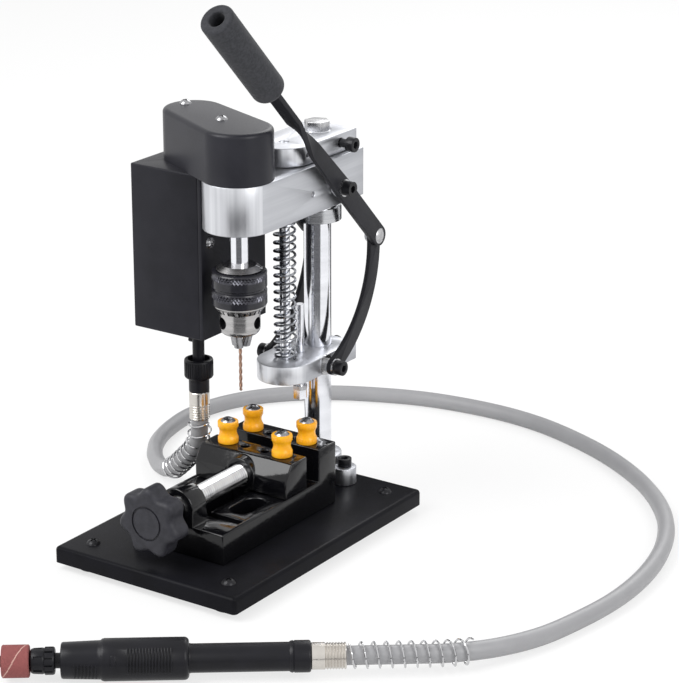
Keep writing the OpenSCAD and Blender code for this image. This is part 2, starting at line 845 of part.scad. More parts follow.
// Points of the return spring, with a close turn at each end
function spring_points() =
    let (
        r = (spring_od - spring_wire) / 2,
        seat = 0.1,
        close = spring_wire + 0.6,
        low = lower_arm_top + seat + spring_wire / 2,
        high = head_z - seat - spring_wire / 2,
        open = (high - low - 2 * close) / (spring_turns - 2),
        count = 8 * spring_turns,
        coil = [
            for (i = [0 : count])
                let (
                    k = i / 8,
                    z = low + close * min(k, 1) + open * max(min(k, spring_turns - 1) - 1, 0)
                        + close * max(k - spring_turns + 1, 0)
                )
                [r * cos(45 * i), rod_y + r * sin(45 * i), z]
        ]
    )
    concat([coil[0] - [0, spring_wire, 0]], coil, [coil[count] + [0, spring_wire, 0]]);

module return_spring() {
    points = spring_points();
    echo(return_spring_least_gap = least_gap(points, spring_wire, 5));
    color(steel) tube(points, spring_wire / 2, 6, [0, 0, 1]);
}

module stop_bolt() {
    head_h = 5.5;
    color(chrome) translate([0, stop_y, lower_arm_z - stop_tail]) {
        cylinder(d = stop_d, h = stop_tail + arm_t + stop_rise);
        translate([0, 0, -head_h]) cylinder(d = 1.7 * stop_d, h = head_h, $fn = 6);
    }
}

module stop_nut() {
    nut_h = 2.4;
    color(steel) translate([0, stop_y, lower_arm_z - stop_tail]) difference() {
        cylinder(d = 1.8 * stop_d, h = nut_h, $fn = 6);
        translate([0, 0, -1]) cylinder(d = stop_d + 2 * fit, h = nut_h + 2);
    }
}

// Peg holes along a jaw's top, two for the pegs and two spare
module peg_holes(y) {
    for (x = [-peg_x, -spare_x, spare_x, peg_x]) {
        translate([x, y, jaw_top - stem_len]) cylinder(d = stem_d + 2 * fit, h = stem_len + 1);
    }
}

// Long hole with round ends, down through a rail
module rail_hole() {
    half = (rail_hole_len - rail_hole_w) / 2;
    x = vice_w / 2 - rail_hole_edge - rail_hole_w / 2;
    translate([x, spindle_y - rail_hole_lead, base_top - 1]) {
        block([-rail_hole_w / 2, -half, 0], [rail_hole_w / 2, half, rail_h + 2]);
        for (y = [-half, half]) translate([0, y, 0]) cylinder(d = rail_hole_w, h = rail_h + 2);
    }
}

module vice_body() {
    color(gloss_black) difference() {
        union() {
            block([-vice_w / 2, vice_y0, base_top], [vice_w / 2, vice_y1, base_top + floor_t]);
            both_sides() block([channel_w / 2, vice_y0, base_top], [vice_w / 2, vice_y1, rail_top]);
            block([-vice_w / 2, fixed_face, base_top], [vice_w / 2, vice_y1, jaw_top]);
            block([-post_r, vice_y0, base_top], [post_r, vice_y0 + post_t, screw_z]);
            translate([0, 0, screw_z]) bar_y(2 * post_r, vice_y0, vice_y0 + post_t);
        }
        translate([0, 0, screw_z]) bar_y(screw_d + 2 * run, vice_y0 - 1, vice_y0 + post_t + 1);
        both_sides() rail_hole();
        both_sides() block([channel_w / 2 - 1, groove_y, rail_top - groove_depth],
            [vice_w / 2 - groove_edge, groove_y + groove_w, rail_top + 1]);
        peg_holes(peg_y_fixed);
        at_vice_bolts() cylinder(d = cap_d + 2 * fit, h = 2 * (vice_bolt_bite + 0.5), center = true);
    }
}

// Two waisted pegs on a jaw, each with a stem below and a screw hole in its top
module pegs(y) {
    r = peg_d / 2;
    swell = (peg_h * peg_h / 16 + peg_waist * peg_waist) / (2 * peg_waist);
    screw_hole = 0.55 * peg_h;
    for (x = [-peg_x, peg_x]) translate([x, y, jaw_top]) difference() {
        union() {
            rotate_extrude() difference() {
                square([r, peg_h]);
                translate([r - peg_waist + swell, peg_h / 2]) circle(r = swell);
            }
            translate([0, 0, 0.5 - stem_len]) cylinder(d = stem_d, h = stem_len);
        }
        translate([0, 0, peg_h - screw_hole]) cylinder(d = small_d + 2 * fit, h = screw_hole + 1);
    }
}

// Screws in the tops of two pegs
module peg_screws(y) {
    for (x = [-peg_x, peg_x]) translate([x, y, jaw_top + peg_h]) {
        pan_screw(small_d, peg_h / 2, 0.72 * peg_d, small_head_h);
    }
}

module fixed_jaw_pegs() {
    color(orange) pegs(peg_y_fixed);
}

module fixed_peg_screws() {
    color(chrome) peg_screws(peg_y_fixed);
}

module link_spacers() {
    bore = cap_d + 2 * fit;
    nut_t = link_x - clear - arm_r - washer_t;
    color(steel) both_sides() translate([0, link_foot[0], link_foot[1]]) rotate([0, 90, 0]) {
        translate([0, 0, arm_r]) washer(1.2 * washer_d, bore, washer_t);
        translate([0, 0, arm_r + washer_t]) difference() {
            cylinder(d = 1.75 * cap_d, h = nut_t, $fn = 6);
            translate([0, 0, -1]) cylinder(d = bore, h = nut_t + 2);
        }
        translate([0, 0, lever_x]) washer(washer_d, bore, washer_t);
    }
}

module flex_hose() {
    color(hose_grey) tube(hose_path, hose_d / 2, hose_sides, [0, 1, 0]);
}

// A guard of wire wound round the hose between two lengths along it
module guard(name, s0, s1, start) {
    r = hose_d / 2 + guard_room + guard_wire / 2;
    points = wound(hose_path, hose_steps, s0, s1, r, guard_turns, guard_wire, start);
    echo(str(name, "_least_gap"), least_gap(points, guard_wire, 5));
    tube(points, guard_wire / 2, 6, [0, 0, 1]);
}

module hose_guard() {
    color(steel) guard("hose_guard", guard_start, guard_len, [1, 0, 0]);
}

module handpiece_guard() {
    color(steel) guard("handpiece_guard", hose_length - guard_start, hose_length - guard_len, [0, 0, 1]);
}

// The handpiece's own frame: Z along its axis from the rear ring to the drum
module on_handpiece() {
    translate(hand_tail) rotate([0, 90, hand_turn]) children();
}

// A solid turned from an outline of [radius, place along the axis] points
module turned(outline) {
    rotate_extrude() polygon(concat([[0, outline[0][1]]], outline, [[0, outline[len(outline) - 1][1]]]));
}

module handpiece_ferrule() {
    grooves = 9;
    pitch = 1.5;
    depth = 0.35;
    color(chrome) on_handpiece() translate([0, 0, -hand_ferrule_len]) difference() {
        cylinder(d = hand_ferrule_d, h = hand_ferrule_len);
        for (i = [1 : grooves]) translate([0, 0, pitch * i]) {
            washer(hand_ferrule_d + 2, hand_ferrule_d - 2 * depth, pitch / 2);
        }
    }
}

module handpiece_rear() {
    edge = 1.2;
    color(oxide_black) on_handpiece() turned([
        [ring_d / 2 - edge, 0], [ring_d / 2, edge], [ring_d / 2, ring_len - edge], [rear_d / 2, ring_len],
        [rear_d / 2, ring_len + rear_len]
    ]);
}

module handpiece_grip() {
    edge = 2.5;
    step = 1;
    grip_z = ring_len + rear_len;
    nose_z = grip_z + hand_len;
    nose_end = nose_z + nose_len;
    color(oxide_black) on_handpiece() difference() {
        turned([
            [hand_d / 2 - edge, grip_z], [hand_d / 2, grip_z + edge], [hand_d / 2, nose_z - edge],
            [hand_d / 2 - step, nose_z], [nose_d / 2, nose_end - step], [nose_d / 2 - step, nose_end]
        ]);
        translate([0, 0, nose_end - arbor_len]) cylinder(d = arbor_d + 2 * run, h = arbor_len + 1);
    }
}

module head_arm() {
    rod_grub = rod_bush_od / 2;
    color(bright_alu) difference() {
        translate([0, 0, head_z]) linear_extrude(head_h) {
            translate([0, spindle_y]) circle(d = head_w);
            translate([-head_w / 2, spindle_y]) square([head_w, throat + head_tail]);
        }
        translate([0, spindle_y, head_z - 1]) {
            cylinder(d = bearing_od - 6, h = head_h + 2);
            cylinder(d = bearing_od + 2 * fit, h = bearing_w + 1.5);
            translate([0, 0, head_h - bearing_w + 0.5]) cylinder(d = bearing_od + 2 * fit, h = bearing_w + 2);
        }
        translate([0, column_y, head_z - 1]) {
            cylinder(d = column_d + 2 * column_room, h = head_h + 2);
            cylinder(d = bush_od + 2 * fit, h = bush_seat + 1);
            translate([0, 0, head_h - bush_upper + 1]) cylinder(d = bush_od + 2 * fit, h = bush_upper + 1);
        }
        translate([0, rod_y, head_z - 1]) cylinder(d = rod_bush_od + 2 * fit, h = head_h + 2);
        translate([0, pivot[0], pivot[1]]) bar_x(cross_shaft_d + 2 * run, -head_w, head_w);
        translate([0, rod_y, pivot[1]]) bar_x(small_d + 2 * fit, rod_grub, head_w);
        at_cover_screws() translate([0, 0, -cover_screw_bite]) cylinder(d = small_d + 2 * fit, h = cover_h);
    }
}

module column_bushes() {
    groove_w = 1.6;
    groove_z = -bush_below / 4;
    bore = column_d + 2 * run;
    color(steel) translate([0, column_y, head_z]) {
        difference() {
            translate([0, 0, -bush_below]) washer(bush_od, bore, bush_below + bush_seat);
            translate([0, 0, groove_z - groove_w]) washer(bush_od + 2, bush_od - 2, groove_w);
        }
        translate([0, 0, head_h - bush_upper]) washer(bush_od, bore, bush_upper - clear);
    }
}

module rod_bush() {
    color(bronze) translate([0, rod_y, head_z]) washer(rod_bush_od, rod_d + 2 * run, head_h);
}

module spindle_bearings() {
    color(steel) translate([0, spindle_y, head_z + 0.5]) {
        for (z = [0, head_h - bearing_w - 1]) translate([0, 0, z]) {
            washer(bearing_od, spindle_d + 2 * fit, bearing_w);
        }
    }
}

module motor_box() {
    wall = box_wall;
    inner = [box_w - 2 * wall, box_d - 2 * wall, box_h - 2 * wall];
    color(powder_black) difference() {
        translate([box_x, box_y, box_z]) cube([box_w, box_d, box_h]);
        translate([box_x + wall, box_y + wall, box_z + wall]) cube(inner);
        translate([motor_x, motor_y, head_top]) cylinder(d = boss_d + 1, h = 4 * wall, center = true);
        translate([motor_x, motor_y, box_z]) cylinder(d = outlet_d + 2 * fit, h = 4 * wall, center = true);
        at_cover_screws() cylinder(d = small_d + 2 * fit, h = 4 * wall, center = true);
        translate([0, spindle_y, box_screw_z]) {
            bar_x(small_d + 2 * fit, -head_w / 2 - 2 * wall, -head_w / 2 + 1);
        }
        translate([motor_x, box_y + box_d, socket_z]) bar_y(socket_d + 2 * fit, -2 * wall, 1);
    }
}

module motor_can() {
    edge = 1.5;
    color(steel) translate([motor_x, motor_y, motor_top]) difference() {
        union() {
            turned([
                [motor_d / 2 - edge, -motor_h], [motor_d / 2, edge - motor_h], [motor_d / 2, 0], [0, 0]
            ]);
            cylinder(d = boss_d, h = boss_h);
        }
        translate([0, 0, -motor_h - 1]) cylinder(d = motor_shaft_d + 2 * run, h = motor_h + boss_h + 2);
    }
}

// Places of the two long screws through the pulley cover
module at_cover_screws() {
    for (d = [cover_screw_near, cover_screw_far]) {
        translate([0, spindle_y, head_top]) rotate(drive_turn) translate([d, 0, 0]) children();
    }
}

module head_screws() {
    grub_len = 6;
    color(chrome) {
        translate([0, spindle_y, head_top + cover_h]) rotate(drive_turn) {
            translate([cover_screw_near, 0, 0]) {
                pan_screw(small_d, cover_h + cover_screw_bite - 1, small_head_d, small_head_h);
            }
            translate([cover_screw_far, 0, 0]) {
                pan_screw(small_d, cover_h + box_wall - 0.1, small_head_d, small_head_h);
            }
        }
        translate([-head_w / 2, spindle_y, box_screw_z]) rotate([0, 90, 0]) {
            pan_screw(small_d, 2 * box_wall, small_head_d, small_head_h);
        }
        translate([0, rod_y, pivot[1]]) bar_x(small_d, head_w / 2 - 1 - grub_len, head_w / 2 - 1);
    }
}

// One end of the pulley cover: a disc with its upper edge rounded
module cover_end(r) {
    steps = 4;
    rotate_extrude($fn = 48) polygon(concat(
        [[0, 0], [r, 0]],
        [
            for (i = [0 : steps])
                let (a = 90 * i / steps)
                [r - cover_round * (1 - cos(a)), cover_h - cover_round * (1 - sin(a))]
        ],
        [[0, cover_h]]
    ));
}

module pulley_cover() {
    inner_h = cover_h - cover_wall;
    color(powder_black) difference() {
        translate([0, spindle_y, head_top]) rotate(drive_turn) hull() {
            cover_end(cover_r);
            translate([drive_len, 0, 0]) cover_end(cover_end_r);
        }
        translate([0, spindle_y, head_top - 1]) rotate(drive_turn) linear_extrude(inner_h + 1) {
            belt_outline(cover_r - cover_wall, cover_end_r - cover_wall, drive_len);
        }
        at_cover_screws() cylinder(d = small_d + 2 * fit, h = 2 * cover_h);
    }
}

// Solid round both belt runs, with a given room outside each pulley's seat
module belt_loop(room, height) {
    hull() {
        cylinder(r = spindle_pulley_r + room, h = height);
        translate([drive_len, 0, 0]) cylinder(r = motor_pulley_r + room, h = height);
    }
}

module drive_belt() {
    z = pulley_z + (pulley_h - belt_w) / 2;
    color(oxide_black) translate([0, spindle_y, z]) rotate(drive_turn) difference() {
        belt_loop(clear + belt_t, belt_w);
        translate([0, 0, -1]) belt_loop(clear, belt_w + 2);
    }
}

// A flanged flat-belt pulley standing on the origin
module pulley(seat_r, bore) {
    difference() {
        union() {
            cylinder(r = seat_r, h = pulley_h);
            for (z = [0, pulley_h - pulley_flange_t]) translate([0, 0, z]) {
                cylinder(r = seat_r + pulley_flange, h = pulley_flange_t);
            }
        }
        translate([0, 0, -1]) cylinder(d = bore, h = pulley_h + 2);
    }
}

module outlet_sleeve() {
    screw_z_in = 13;
    screw_len = 3;
    color(rubber_grey) translate([motor_x, motor_y, outlet_end]) {
        difference() {
            union() {
                cylinder(d = outlet_d, h = outlet_len + box_wall);
                translate([0, 0, outlet_len + box_wall]) cylinder(d = outlet_flange_d, h = outlet_flange_t);
            }
            translate([0, 0, -1]) {
                cylinder(d = motor_shaft_d + 2 * run, h = outlet_len + box_wall + outlet_flange_t + 2);
            }
        }
        translate([-outlet_d / 2 - screw_len + 0.3, 0, outlet_len - screw_z_in]) bar_x(small_d, 0, screw_len);
    }
}

module coupling_nut() {
    edge = 1;
    color(oxide_black) translate([motor_x, motor_y, collar_z]) difference() {
        turned([
            [ferrule_d / 2, 0], [ferrule_d / 2, collar_len], [nut_d / 2 - edge, collar_len],
            [nut_d / 2, collar_len + edge], [nut_d / 2, collar_len + nut_len - edge],
            [nut_d / 2 - edge, collar_len + nut_len]
        ]);
        translate([0, 0, -1]) cylinder(d = core_d, h = collar_len + nut_len + 2);
        translate([0, 0, collar_len + nut_len - nut_socket]) cylinder(d = outlet_d + 2 * fit, h = nut_len);
        translate([0, 0, collar_len + nut_len - nut_rim]) cylinder(d = nut_d - 4, h = nut_rim + 1);
    }
}

module hose_ferrule() {
    grooves = 4;
    pitch = 1.4;
    depth = 0.4;
    color(chrome) translate([motor_x, motor_y, ferrule_z]) difference() {
        cylinder(d = ferrule_d, h = ferrule_len);
        for (i = [1 : grooves]) translate([0, 0, pitch * i]) {
            washer(ferrule_d + 2, ferrule_d - 2 * depth, pitch / 2);
        }
    }
}

module power_socket() {
    flange_t = 2;
    pin_d = 2;
    mouth_d = 5.5;
    color(oxide_black) translate([motor_x, box_y + box_d, socket_z]) {
        difference() {
            union() {
                bar_y(socket_d, -socket_len, 0);
                bar_y(socket_flange_d, 0, flange_t);
            }
            bar_y(mouth_d, 1 - socket_len, flange_t + 1);
        }
        bar_y(pin_d, 1 - socket_len, 0);
    }
}

// Outline of the lever's flat part, in its own frame
module lever_flat(front) {
    difference() {
        union() {
            translate([-crank_len, 0]) circle(d = lever_w);
            translate([-crank_len, -lever_w / 2]) square([crank_len, lever_w]);
            if (front > 0) {
                polygon([[0, -lever_w / 2], [front, -shank_w / 2], [front, shank_w / 2], [0, lever_w / 2]]);
            }
            circle(d = lever_w);
        }
        circle(d = cross_shaft_d + 2 * fit);
        translate([-crank_len, 0]) circle(d = rivet_d + 2 * fit);
    }
}

module lever_bar() {
    twist_to = twist_from + twist_len;
    color(oxide_black) on_lever() {
        plate_x(lever_x, lever_t) lever_flat(twist_from);
        translate([lever_mid, twist_from, 0]) rotate([-90, 0, 0]) {
            linear_extrude(twist_len, twist = -90, slices = 14, segments = 8) {
                square([lever_t, shank_w], center = true);
            }
        }
        block([lever_mid - shank_w / 2, twist_to, -lever_t / 2],
            [lever_mid + shank_w / 2, grip_from + shank_into_grip, lever_t / 2]);
    }
}

module lever_grip() {
    steps = 4;
    r = grip_d / 2;
    arc = [for (i = [0 : steps]) grip_round * [1 - sin(90 * i / steps), 1 - cos(90 * i / steps)]];
    color(rubber_grey) on_lever() translate([lever_mid, grip_from, 0]) difference() {
        rotate([-90, 0, 0]) turned(concat(
            [for (i = [0 : steps]) [r - arc[i][0], arc[i][1]]],
            [[r, grip_len - 1.5], [r - 1.5, grip_len]]
        ));
        block([-shank_w / 2 - fit, -1, -lever_t / 2 - fit],
            [shank_w / 2 + fit, shank_into_grip + clear, lever_t / 2 + fit]);
        bar_y(grip_hollow_d, grip_len - grip_hollow, grip_len + 1);
    }
}

module cross_shaft() {
    end = lever_end + washer_t;
    color(steel) translate([0, pivot[0], pivot[1]]) difference() {
        bar_x(cross_shaft_d, -end, end);
        both_sides() bar_x(small_d + 2 * fit, end - shaft_screw_bite - 0.5, end + 1);
    }
}

module left_crank() {
    color(oxide_black) on_lever() plate_x(-lever_end, lever_t) lever_flat(0);
}

module lever_screws() {
    color(oxide_black) both_sides() translate([lever_end + washer_t, pivot[0], pivot[1]]) rotate([0, 90, 0]) {
        difference() {
            union() {
                cylinder(d = cap_head_d, h = cap_head_h);
                translate([0, 0, -shaft_screw_bite]) cylinder(d = small_d, h = shaft_screw_bite);
            }
            translate([0, 0, cap_head_h / 2]) cylinder(d = cap_key, h = cap_head_h, $fn = 6);
        }
    }
}

// Washers on the cross shaft, and the rivets of the two elbows
module lever_washers() {
    bore = cross_shaft_d + 2 * fit;
    spacer = head_w / 2 + clear;
    inner_head = link_x - clear;
    color(chrome) both_sides() {
        translate([0, pivot[0], pivot[1]]) rotate([0, 90, 0]) {
            translate([0, 0, spacer]) washer(0.9 * washer_d, bore, lever_x - washer_t - spacer);
            translate([0, 0, lever_x - washer_t]) washer(1.15 * washer_d, bore, washer_t);
            translate([0, 0, lever_end]) washer(washer_d, bore, washer_t);
        }
        translate([0, elbow[0], elbow[1]]) {
            bar_x(rivet_d, inner_head - 0.1, lever_end + 0.1);
            bar_x(rivet_head_d, inner_head - rivet_head_t, inner_head);
            translate([lever_end, 0, 0]) rotate([0, 90, 0]) rotate_extrude() intersection() {
                dome = (rivet_head_d * rivet_head_d / 4 + rivet_head_t * rivet_head_t) / (2 * rivet_head_t);
                translate([0, rivet_head_t - dome]) circle(r = dome);
                square([rivet_head_d / 2, rivet_head_t]);
            }
        }
    }
}

// Outline of a link in its own frame, X along the line from its foot to the elbow
module link_outline() {
    half = asin(link_len / 2 / link_r);
    far = 3 * link_r;
    difference() {
        union() {
            translate([link_len / 2, link_r - link_bulge]) intersection() {
                difference() {
                    circle(r = link_r + link_w / 2, $fn = 128);
                    circle(r = link_r - link_w / 2, $fn = 128);
                }
                polygon([[0, 0], far * [-sin(half), -cos(half)], far * [sin(half), -cos(half)]]);
            }
            circle(d = link_w);
            translate([link_len, 0]) circle(d = link_w);
        }
        circle(d = cap_d + 2 * run);
        translate([link_len, 0]) circle(r = rivet_d / 2 + elbow_slack);
    }
}

// A link standing between its foot and the elbow, from x0
module link(x0) {
    color(oxide_black) translate([0, link_foot[0], link_foot[1]]) rotate([link_turn, 0, 0]) {
        plate_x(x0, link_t) link_outline();
    }
}

module right_link() {
    link(link_x);
}

module left_link() {
    link(-link_x - link_t);
}

module spindle_shaft() {
    top = pulley_z + pulley_h + 2;
    bottom = chuck_top - taper_depth;
    color(chrome) translate([0, spindle_y, bottom]) cylinder(d = spindle_d, h = top - bottom);
}

module spindle_pulley() {
    color(bright_alu) translate([0, spindle_y, pulley_z]) pulley(spindle_pulley_r, spindle_d + 2 * fit);
}

module motor_shaft() {
    top = pulley_z + pulley_h + 2;
    bottom = outlet_end + 4;
    color(steel) translate([motor_x, motor_y, bottom]) cylinder(d = motor_shaft_d, h = top - bottom);
}

module motor_pulley() {
    color(bright_alu) translate([motor_x, motor_y, pulley_z]) pulley(motor_pulley_r, motor_shaft_d + 2 * fit);
}

// Places one jaw's slanted axis, with Z up along it from the jaw's tip
module on_jaw(turn) {
    translate([0, spindle_y, jaw_tip]) rotate(turn) {
        translate([jaw_start, 0, 0]) rotate([0, jaw_lean, 0]) children();
    }
}

module chuck_body() {
    r = chuck_body_d / 2;
    core_top = sleeve_top + clear;
    color(steel) difference() {
        translate([0, spindle_y, 0]) turned([
            [r - nose_taper, chuck_nose], [r, chuck_nose + nose_taper], [r, chuck_body_top],
            [chuck_core_r, chuck_body_top], [chuck_core_r, core_top], [cone_r, core_top],
            [cone_r - chuck_cone, chuck_top]
        ]);
        translate([0, spindle_y, chuck_top - taper_depth - 0.5]) {
            cylinder(d = spindle_d + 2 * fit, h = taper_depth + 1);
        }
        translate([0, spindle_y, chuck_nose - 1]) cylinder(d = drill_d + 2, h = drill_in - jaw_show + 2);
        for (a = jaw_turns) {
            on_jaw(a) translate([0, 0, -jaw_d]) cylinder(d = jaw_d + 2 * run, h = jaw_len + jaw_d + jaw_room);
            translate([0, spindle_y, chuck_nose + key_hole_rise]) rotate(a + key_hole_turn) {
                bar_x(key_hole_d, r - key_hole_depth, r + 1);
            }
        }
    }
}

module chuck_sleeve() {
    r = chuck_d / 2;
    groove = 0.6;
    middle = sleeve_z + rim_h + (sleeve_h - rim_h) / 2;
    cavity_r = r - 2.6;
    cavity_h = 12;
    tooth = 360 / rim_teeth;
    tooth_w = PI * cavity_r / rim_teeth;
    rim_step = 0.7;
    color(oxide_black) translate([0, spindle_y, 0]) difference() {
        turned([
            [r - rim_step, sleeve_z], [r - rim_step, sleeve_z + rim_h], [r, sleeve_z + rim_h],
            [r, middle - groove], [r - groove, middle], [r, middle + groove],
            [r, sleeve_top - 1.5], [r - 1.5, sleeve_top]
        ]);
        translate([0, 0, sleeve_z - 1]) cylinder(r = chuck_core_r + run, h = sleeve_h + 2);
        translate([0, 0, sleeve_z - 1]) cylinder(r = cavity_r, h = cavity_h + 1);
        for (i = [0 : rim_teeth - 1]) rotate(i * tooth) translate([r, 0, sleeve_z]) {
            cube([2 * (r - cavity_r) + 2, tooth_w, 2 * tooth_w], center = true);
        }
    }
}

// One jaw: a slanted round bar with a flat grip and two sides that leave room for the other jaws
module chuck_jaw(turn) {
    reach = 30;
    color(steel) intersection() {
        on_jaw(turn) translate([0, 0, -jaw_d]) cylinder(d = jaw_d, h = jaw_len + jaw_d);
        translate([0, spindle_y, jaw_tip]) rotate(turn) linear_extrude(jaw_len) polygon([
            [jaw_grip, -jaw_grip * tan(55)], [reach, -reach * tan(55)],
            [reach, reach * tan(55)], [jaw_grip, jaw_grip * tan(55)]
        ]);
    }
}

module chuck_jaw_1() {
    chuck_jaw(jaw_turns[0]);
}

module chuck_jaw_2() {
    chuck_jaw(jaw_turns[1]);
}

module chuck_jaw_3() {
    chuck_jaw(jaw_turns[2]);
}

module drill_bit() {
    point = drill_d * 0.6;
    color(bronze) translate([0, spindle_y, drill_tip]) {
        cylinder(d1 = 0, d2 = drill_d, h = point);
        translate([0, 0, point]) cylinder(d = drill_d, h = drill_show + drill_in - point);
    }
}

module moving_jaw() {
    top_half = vice_w / 2;
    tongue_half = channel_w / 2 - clear;
    tongue_z = base_top + floor_t + clear;
    seat_z = rail_top + clear;
    color(gloss_black) difference() {
        union() {
            plate_x(-top_half, 2 * top_half) polygon([
                [moving_toe, seat_z], [moving_face, seat_z], [moving_face, jaw_top], [moving_front, jaw_top],
                [moving_toe, jaw_top - jaw_slope]
            ]);
            block([-tongue_half, moving_toe, tongue_z], [tongue_half, moving_face, seat_z + 0.1]);
            translate([0, 0, screw_z]) bar_y(2 * jaw_boss_r, moving_toe, moving_face - 1);
        }
        translate([0, 0, screw_z]) bar_y(screw_d + 2 * run, moving_toe - 1, screw_end + clear);
        peg_holes(peg_y_moving);
    }
}

module moving_jaw_pegs() {
    color(orange) pegs(peg_y_moving);
}

module moving_peg_screws() {
    color(chrome) peg_screws(peg_y_moving);
}

module vice_screw() {
    color(chrome) translate([0, 0, screw_z]) bar_y(screw_d, knob_back - knob_grip, screw_end);
}

module vice_knob() {
    lobe_at = knob_r - lobe_r;
    color(oxide_black) translate([0, knob_back, screw_z]) rotate([90, 0, 0]) difference() {
        linear_extrude(knob_len) {
            circle(r = 0.8 * knob_r);
            for (i = [0 : knob_lobes - 1]) rotate(360 / knob_lobes * i + 90) {
                translate([lobe_at, 0]) circle(r = lobe_r);
            }
        }
        translate([0, 0, -1]) cylinder(d = screw_d + 2 * fit, h = knob_grip + 1);
        translate([0, 0, knob_len - knob_cap_depth]) washer(knob_cap_d, knob_cap_d - 2, 2);
    }
}

module collet_spindle() {
    nose_end = ring_len + rear_len + hand_len + nose_len;
    edge = 1.2;
    r = collet_d / 2;
    color(oxide_black) on_handpiece() turned([
        [arbor_d / 2, nose_end - arbor_len + 0.5], [arbor_d / 2, nose_end + clear],
        [neck_d / 2, nose_end + clear], [neck_d / 2, nose_end + neck_len],
        [r - edge, nose_end + neck_len], [r, nose_end + neck_len + edge],
        [r, nose_end + neck_len + collet_len - 3], [r - 2.5, nose_end + neck_len + collet_len]
    ]);
}

module sanding_drum() {
    drum_z = ring_len + rear_len + hand_len + nose_len + neck_len + collet_len;
    edge = 0.5;
    r = drum_d / 2;
    color(grit_red) on_handpiece() turned([
        [r - edge, drum_z], [r, drum_z + edge], [r, drum_z + drum_len - edge], [r - edge, drum_z + drum_len],
        [drum_screw_d / 2, drum_z + drum_len], [drum_screw_d / 2, drum_z + drum_len + drum_screw_h]
    ]);
}

base_plate();
rubber_feet();
foot_screws();
column();
column_flange();
frame_screws();
lower_arm();
top_plate();
guide_rod();
return_spring();
stop_bolt();
stop_nut();
vice_body();
fixed_jaw_pegs();
fixed_peg_screws();
link_spacers();
flex_hose();
handpiece_guard();
handpiece_ferrule();
handpiece_rear();
handpiece_grip();
head_arm();
column_bushes();
rod_bush();
spindle_bearings();
motor_box();
motor_can();
head_screws();
pulley_cover();
drive_belt();
outlet_sleeve();
coupling_nut();
hose_ferrule();
hose_guard();
power_socket();
lever_bar();
lever_grip();
cross_shaft();
left_crank();
lever_screws();
lever_washers();
right_link();
left_link();
spindle_shaft();
spindle_pulley();
chuck_body();
drill_bit();
chuck_sleeve();
chuck_jaw_1();
chuck_jaw_2();
chuck_jaw_3();
motor_shaft();
motor_pulley();
moving_jaw();
moving_jaw_pegs();
moving_peg_screws();
vice_screw();
vice_knob();
collet_spindle();
sanding_drum();
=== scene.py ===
"""Looks of a mini drill press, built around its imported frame.

Each sub-assembly is a class that holds its sizes as fields, in millimetres. It models the pieces that need
more than the frame's own solids, and dresses both. MM turns millimetres into metres.
"""

import logging
import math
from collections.abc import Callable, Iterator, Sequence
from contextlib import contextmanager
from dataclasses import dataclass, field
from enum import Enum

import bmesh
import bpy
from mathutils import Matrix, Vector
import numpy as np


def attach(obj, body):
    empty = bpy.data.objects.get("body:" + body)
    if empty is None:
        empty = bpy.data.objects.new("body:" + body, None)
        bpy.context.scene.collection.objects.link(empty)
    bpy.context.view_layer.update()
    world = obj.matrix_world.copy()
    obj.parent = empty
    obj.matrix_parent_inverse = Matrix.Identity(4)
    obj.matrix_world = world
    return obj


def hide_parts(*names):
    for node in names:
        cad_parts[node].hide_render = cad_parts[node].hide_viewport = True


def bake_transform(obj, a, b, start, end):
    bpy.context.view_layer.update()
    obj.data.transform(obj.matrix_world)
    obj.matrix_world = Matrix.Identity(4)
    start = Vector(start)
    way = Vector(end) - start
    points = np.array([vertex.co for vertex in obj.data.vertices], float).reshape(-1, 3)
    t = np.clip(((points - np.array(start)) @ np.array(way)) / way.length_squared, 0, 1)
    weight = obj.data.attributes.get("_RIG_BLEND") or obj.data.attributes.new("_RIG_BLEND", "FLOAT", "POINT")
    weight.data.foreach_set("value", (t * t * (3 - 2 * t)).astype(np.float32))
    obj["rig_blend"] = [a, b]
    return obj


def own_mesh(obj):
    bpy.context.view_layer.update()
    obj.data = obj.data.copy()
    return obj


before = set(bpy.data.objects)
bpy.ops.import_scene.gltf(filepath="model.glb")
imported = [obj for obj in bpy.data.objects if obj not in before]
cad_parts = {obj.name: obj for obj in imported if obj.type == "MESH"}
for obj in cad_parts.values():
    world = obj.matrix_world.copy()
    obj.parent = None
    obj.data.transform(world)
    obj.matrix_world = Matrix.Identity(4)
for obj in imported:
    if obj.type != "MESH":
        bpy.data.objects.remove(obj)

LOG = logging.getLogger("drill_press")
MM = 0.001
# Metres between points that count as one, and degrees between faces that count as flat
MERGE_GAP = 1e-6
FLAT_ANGLE = 0.5
# Points on a turn of wound wire, and sides of its section
COIL_STEPS = 24
WIRE_SIDES = 8
# The finishes' noise: its octaves, and the stretch of its values that is spread out
MOTTLE_DETAIL = 3.0
FINE_DETAIL = 4.0
NOISE_SPAN = (0.3, 0.7)
RAMP_SPAN = (0.35, 0.65)
COAT_ROUGHNESS = 0.08
# Place of the motor's axis, and the handpiece's turn on the bench in degrees
MOTOR_AT = (-46.0, 21.4)
HAND_TURN = 216.5
BLEND_SHARE = "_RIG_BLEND"
Point = tuple[float, float, float]
Outline = Sequence[tuple[float, float]]
Color = tuple[float, float, float]


class Grain(Enum):
    """How the fine marks of a finish are stretched along the three axes."""

    EVEN = (1.0, 1.0, 1.0)
    ALONG_Y = (1.0, 0.03, 1.0)
    ALONG_Z = (1.0, 1.0, 0.02)
    RINGS_Y = (0.02, 1.0, 0.02)
    RINGS_Z = (0.02, 0.02, 1.0)


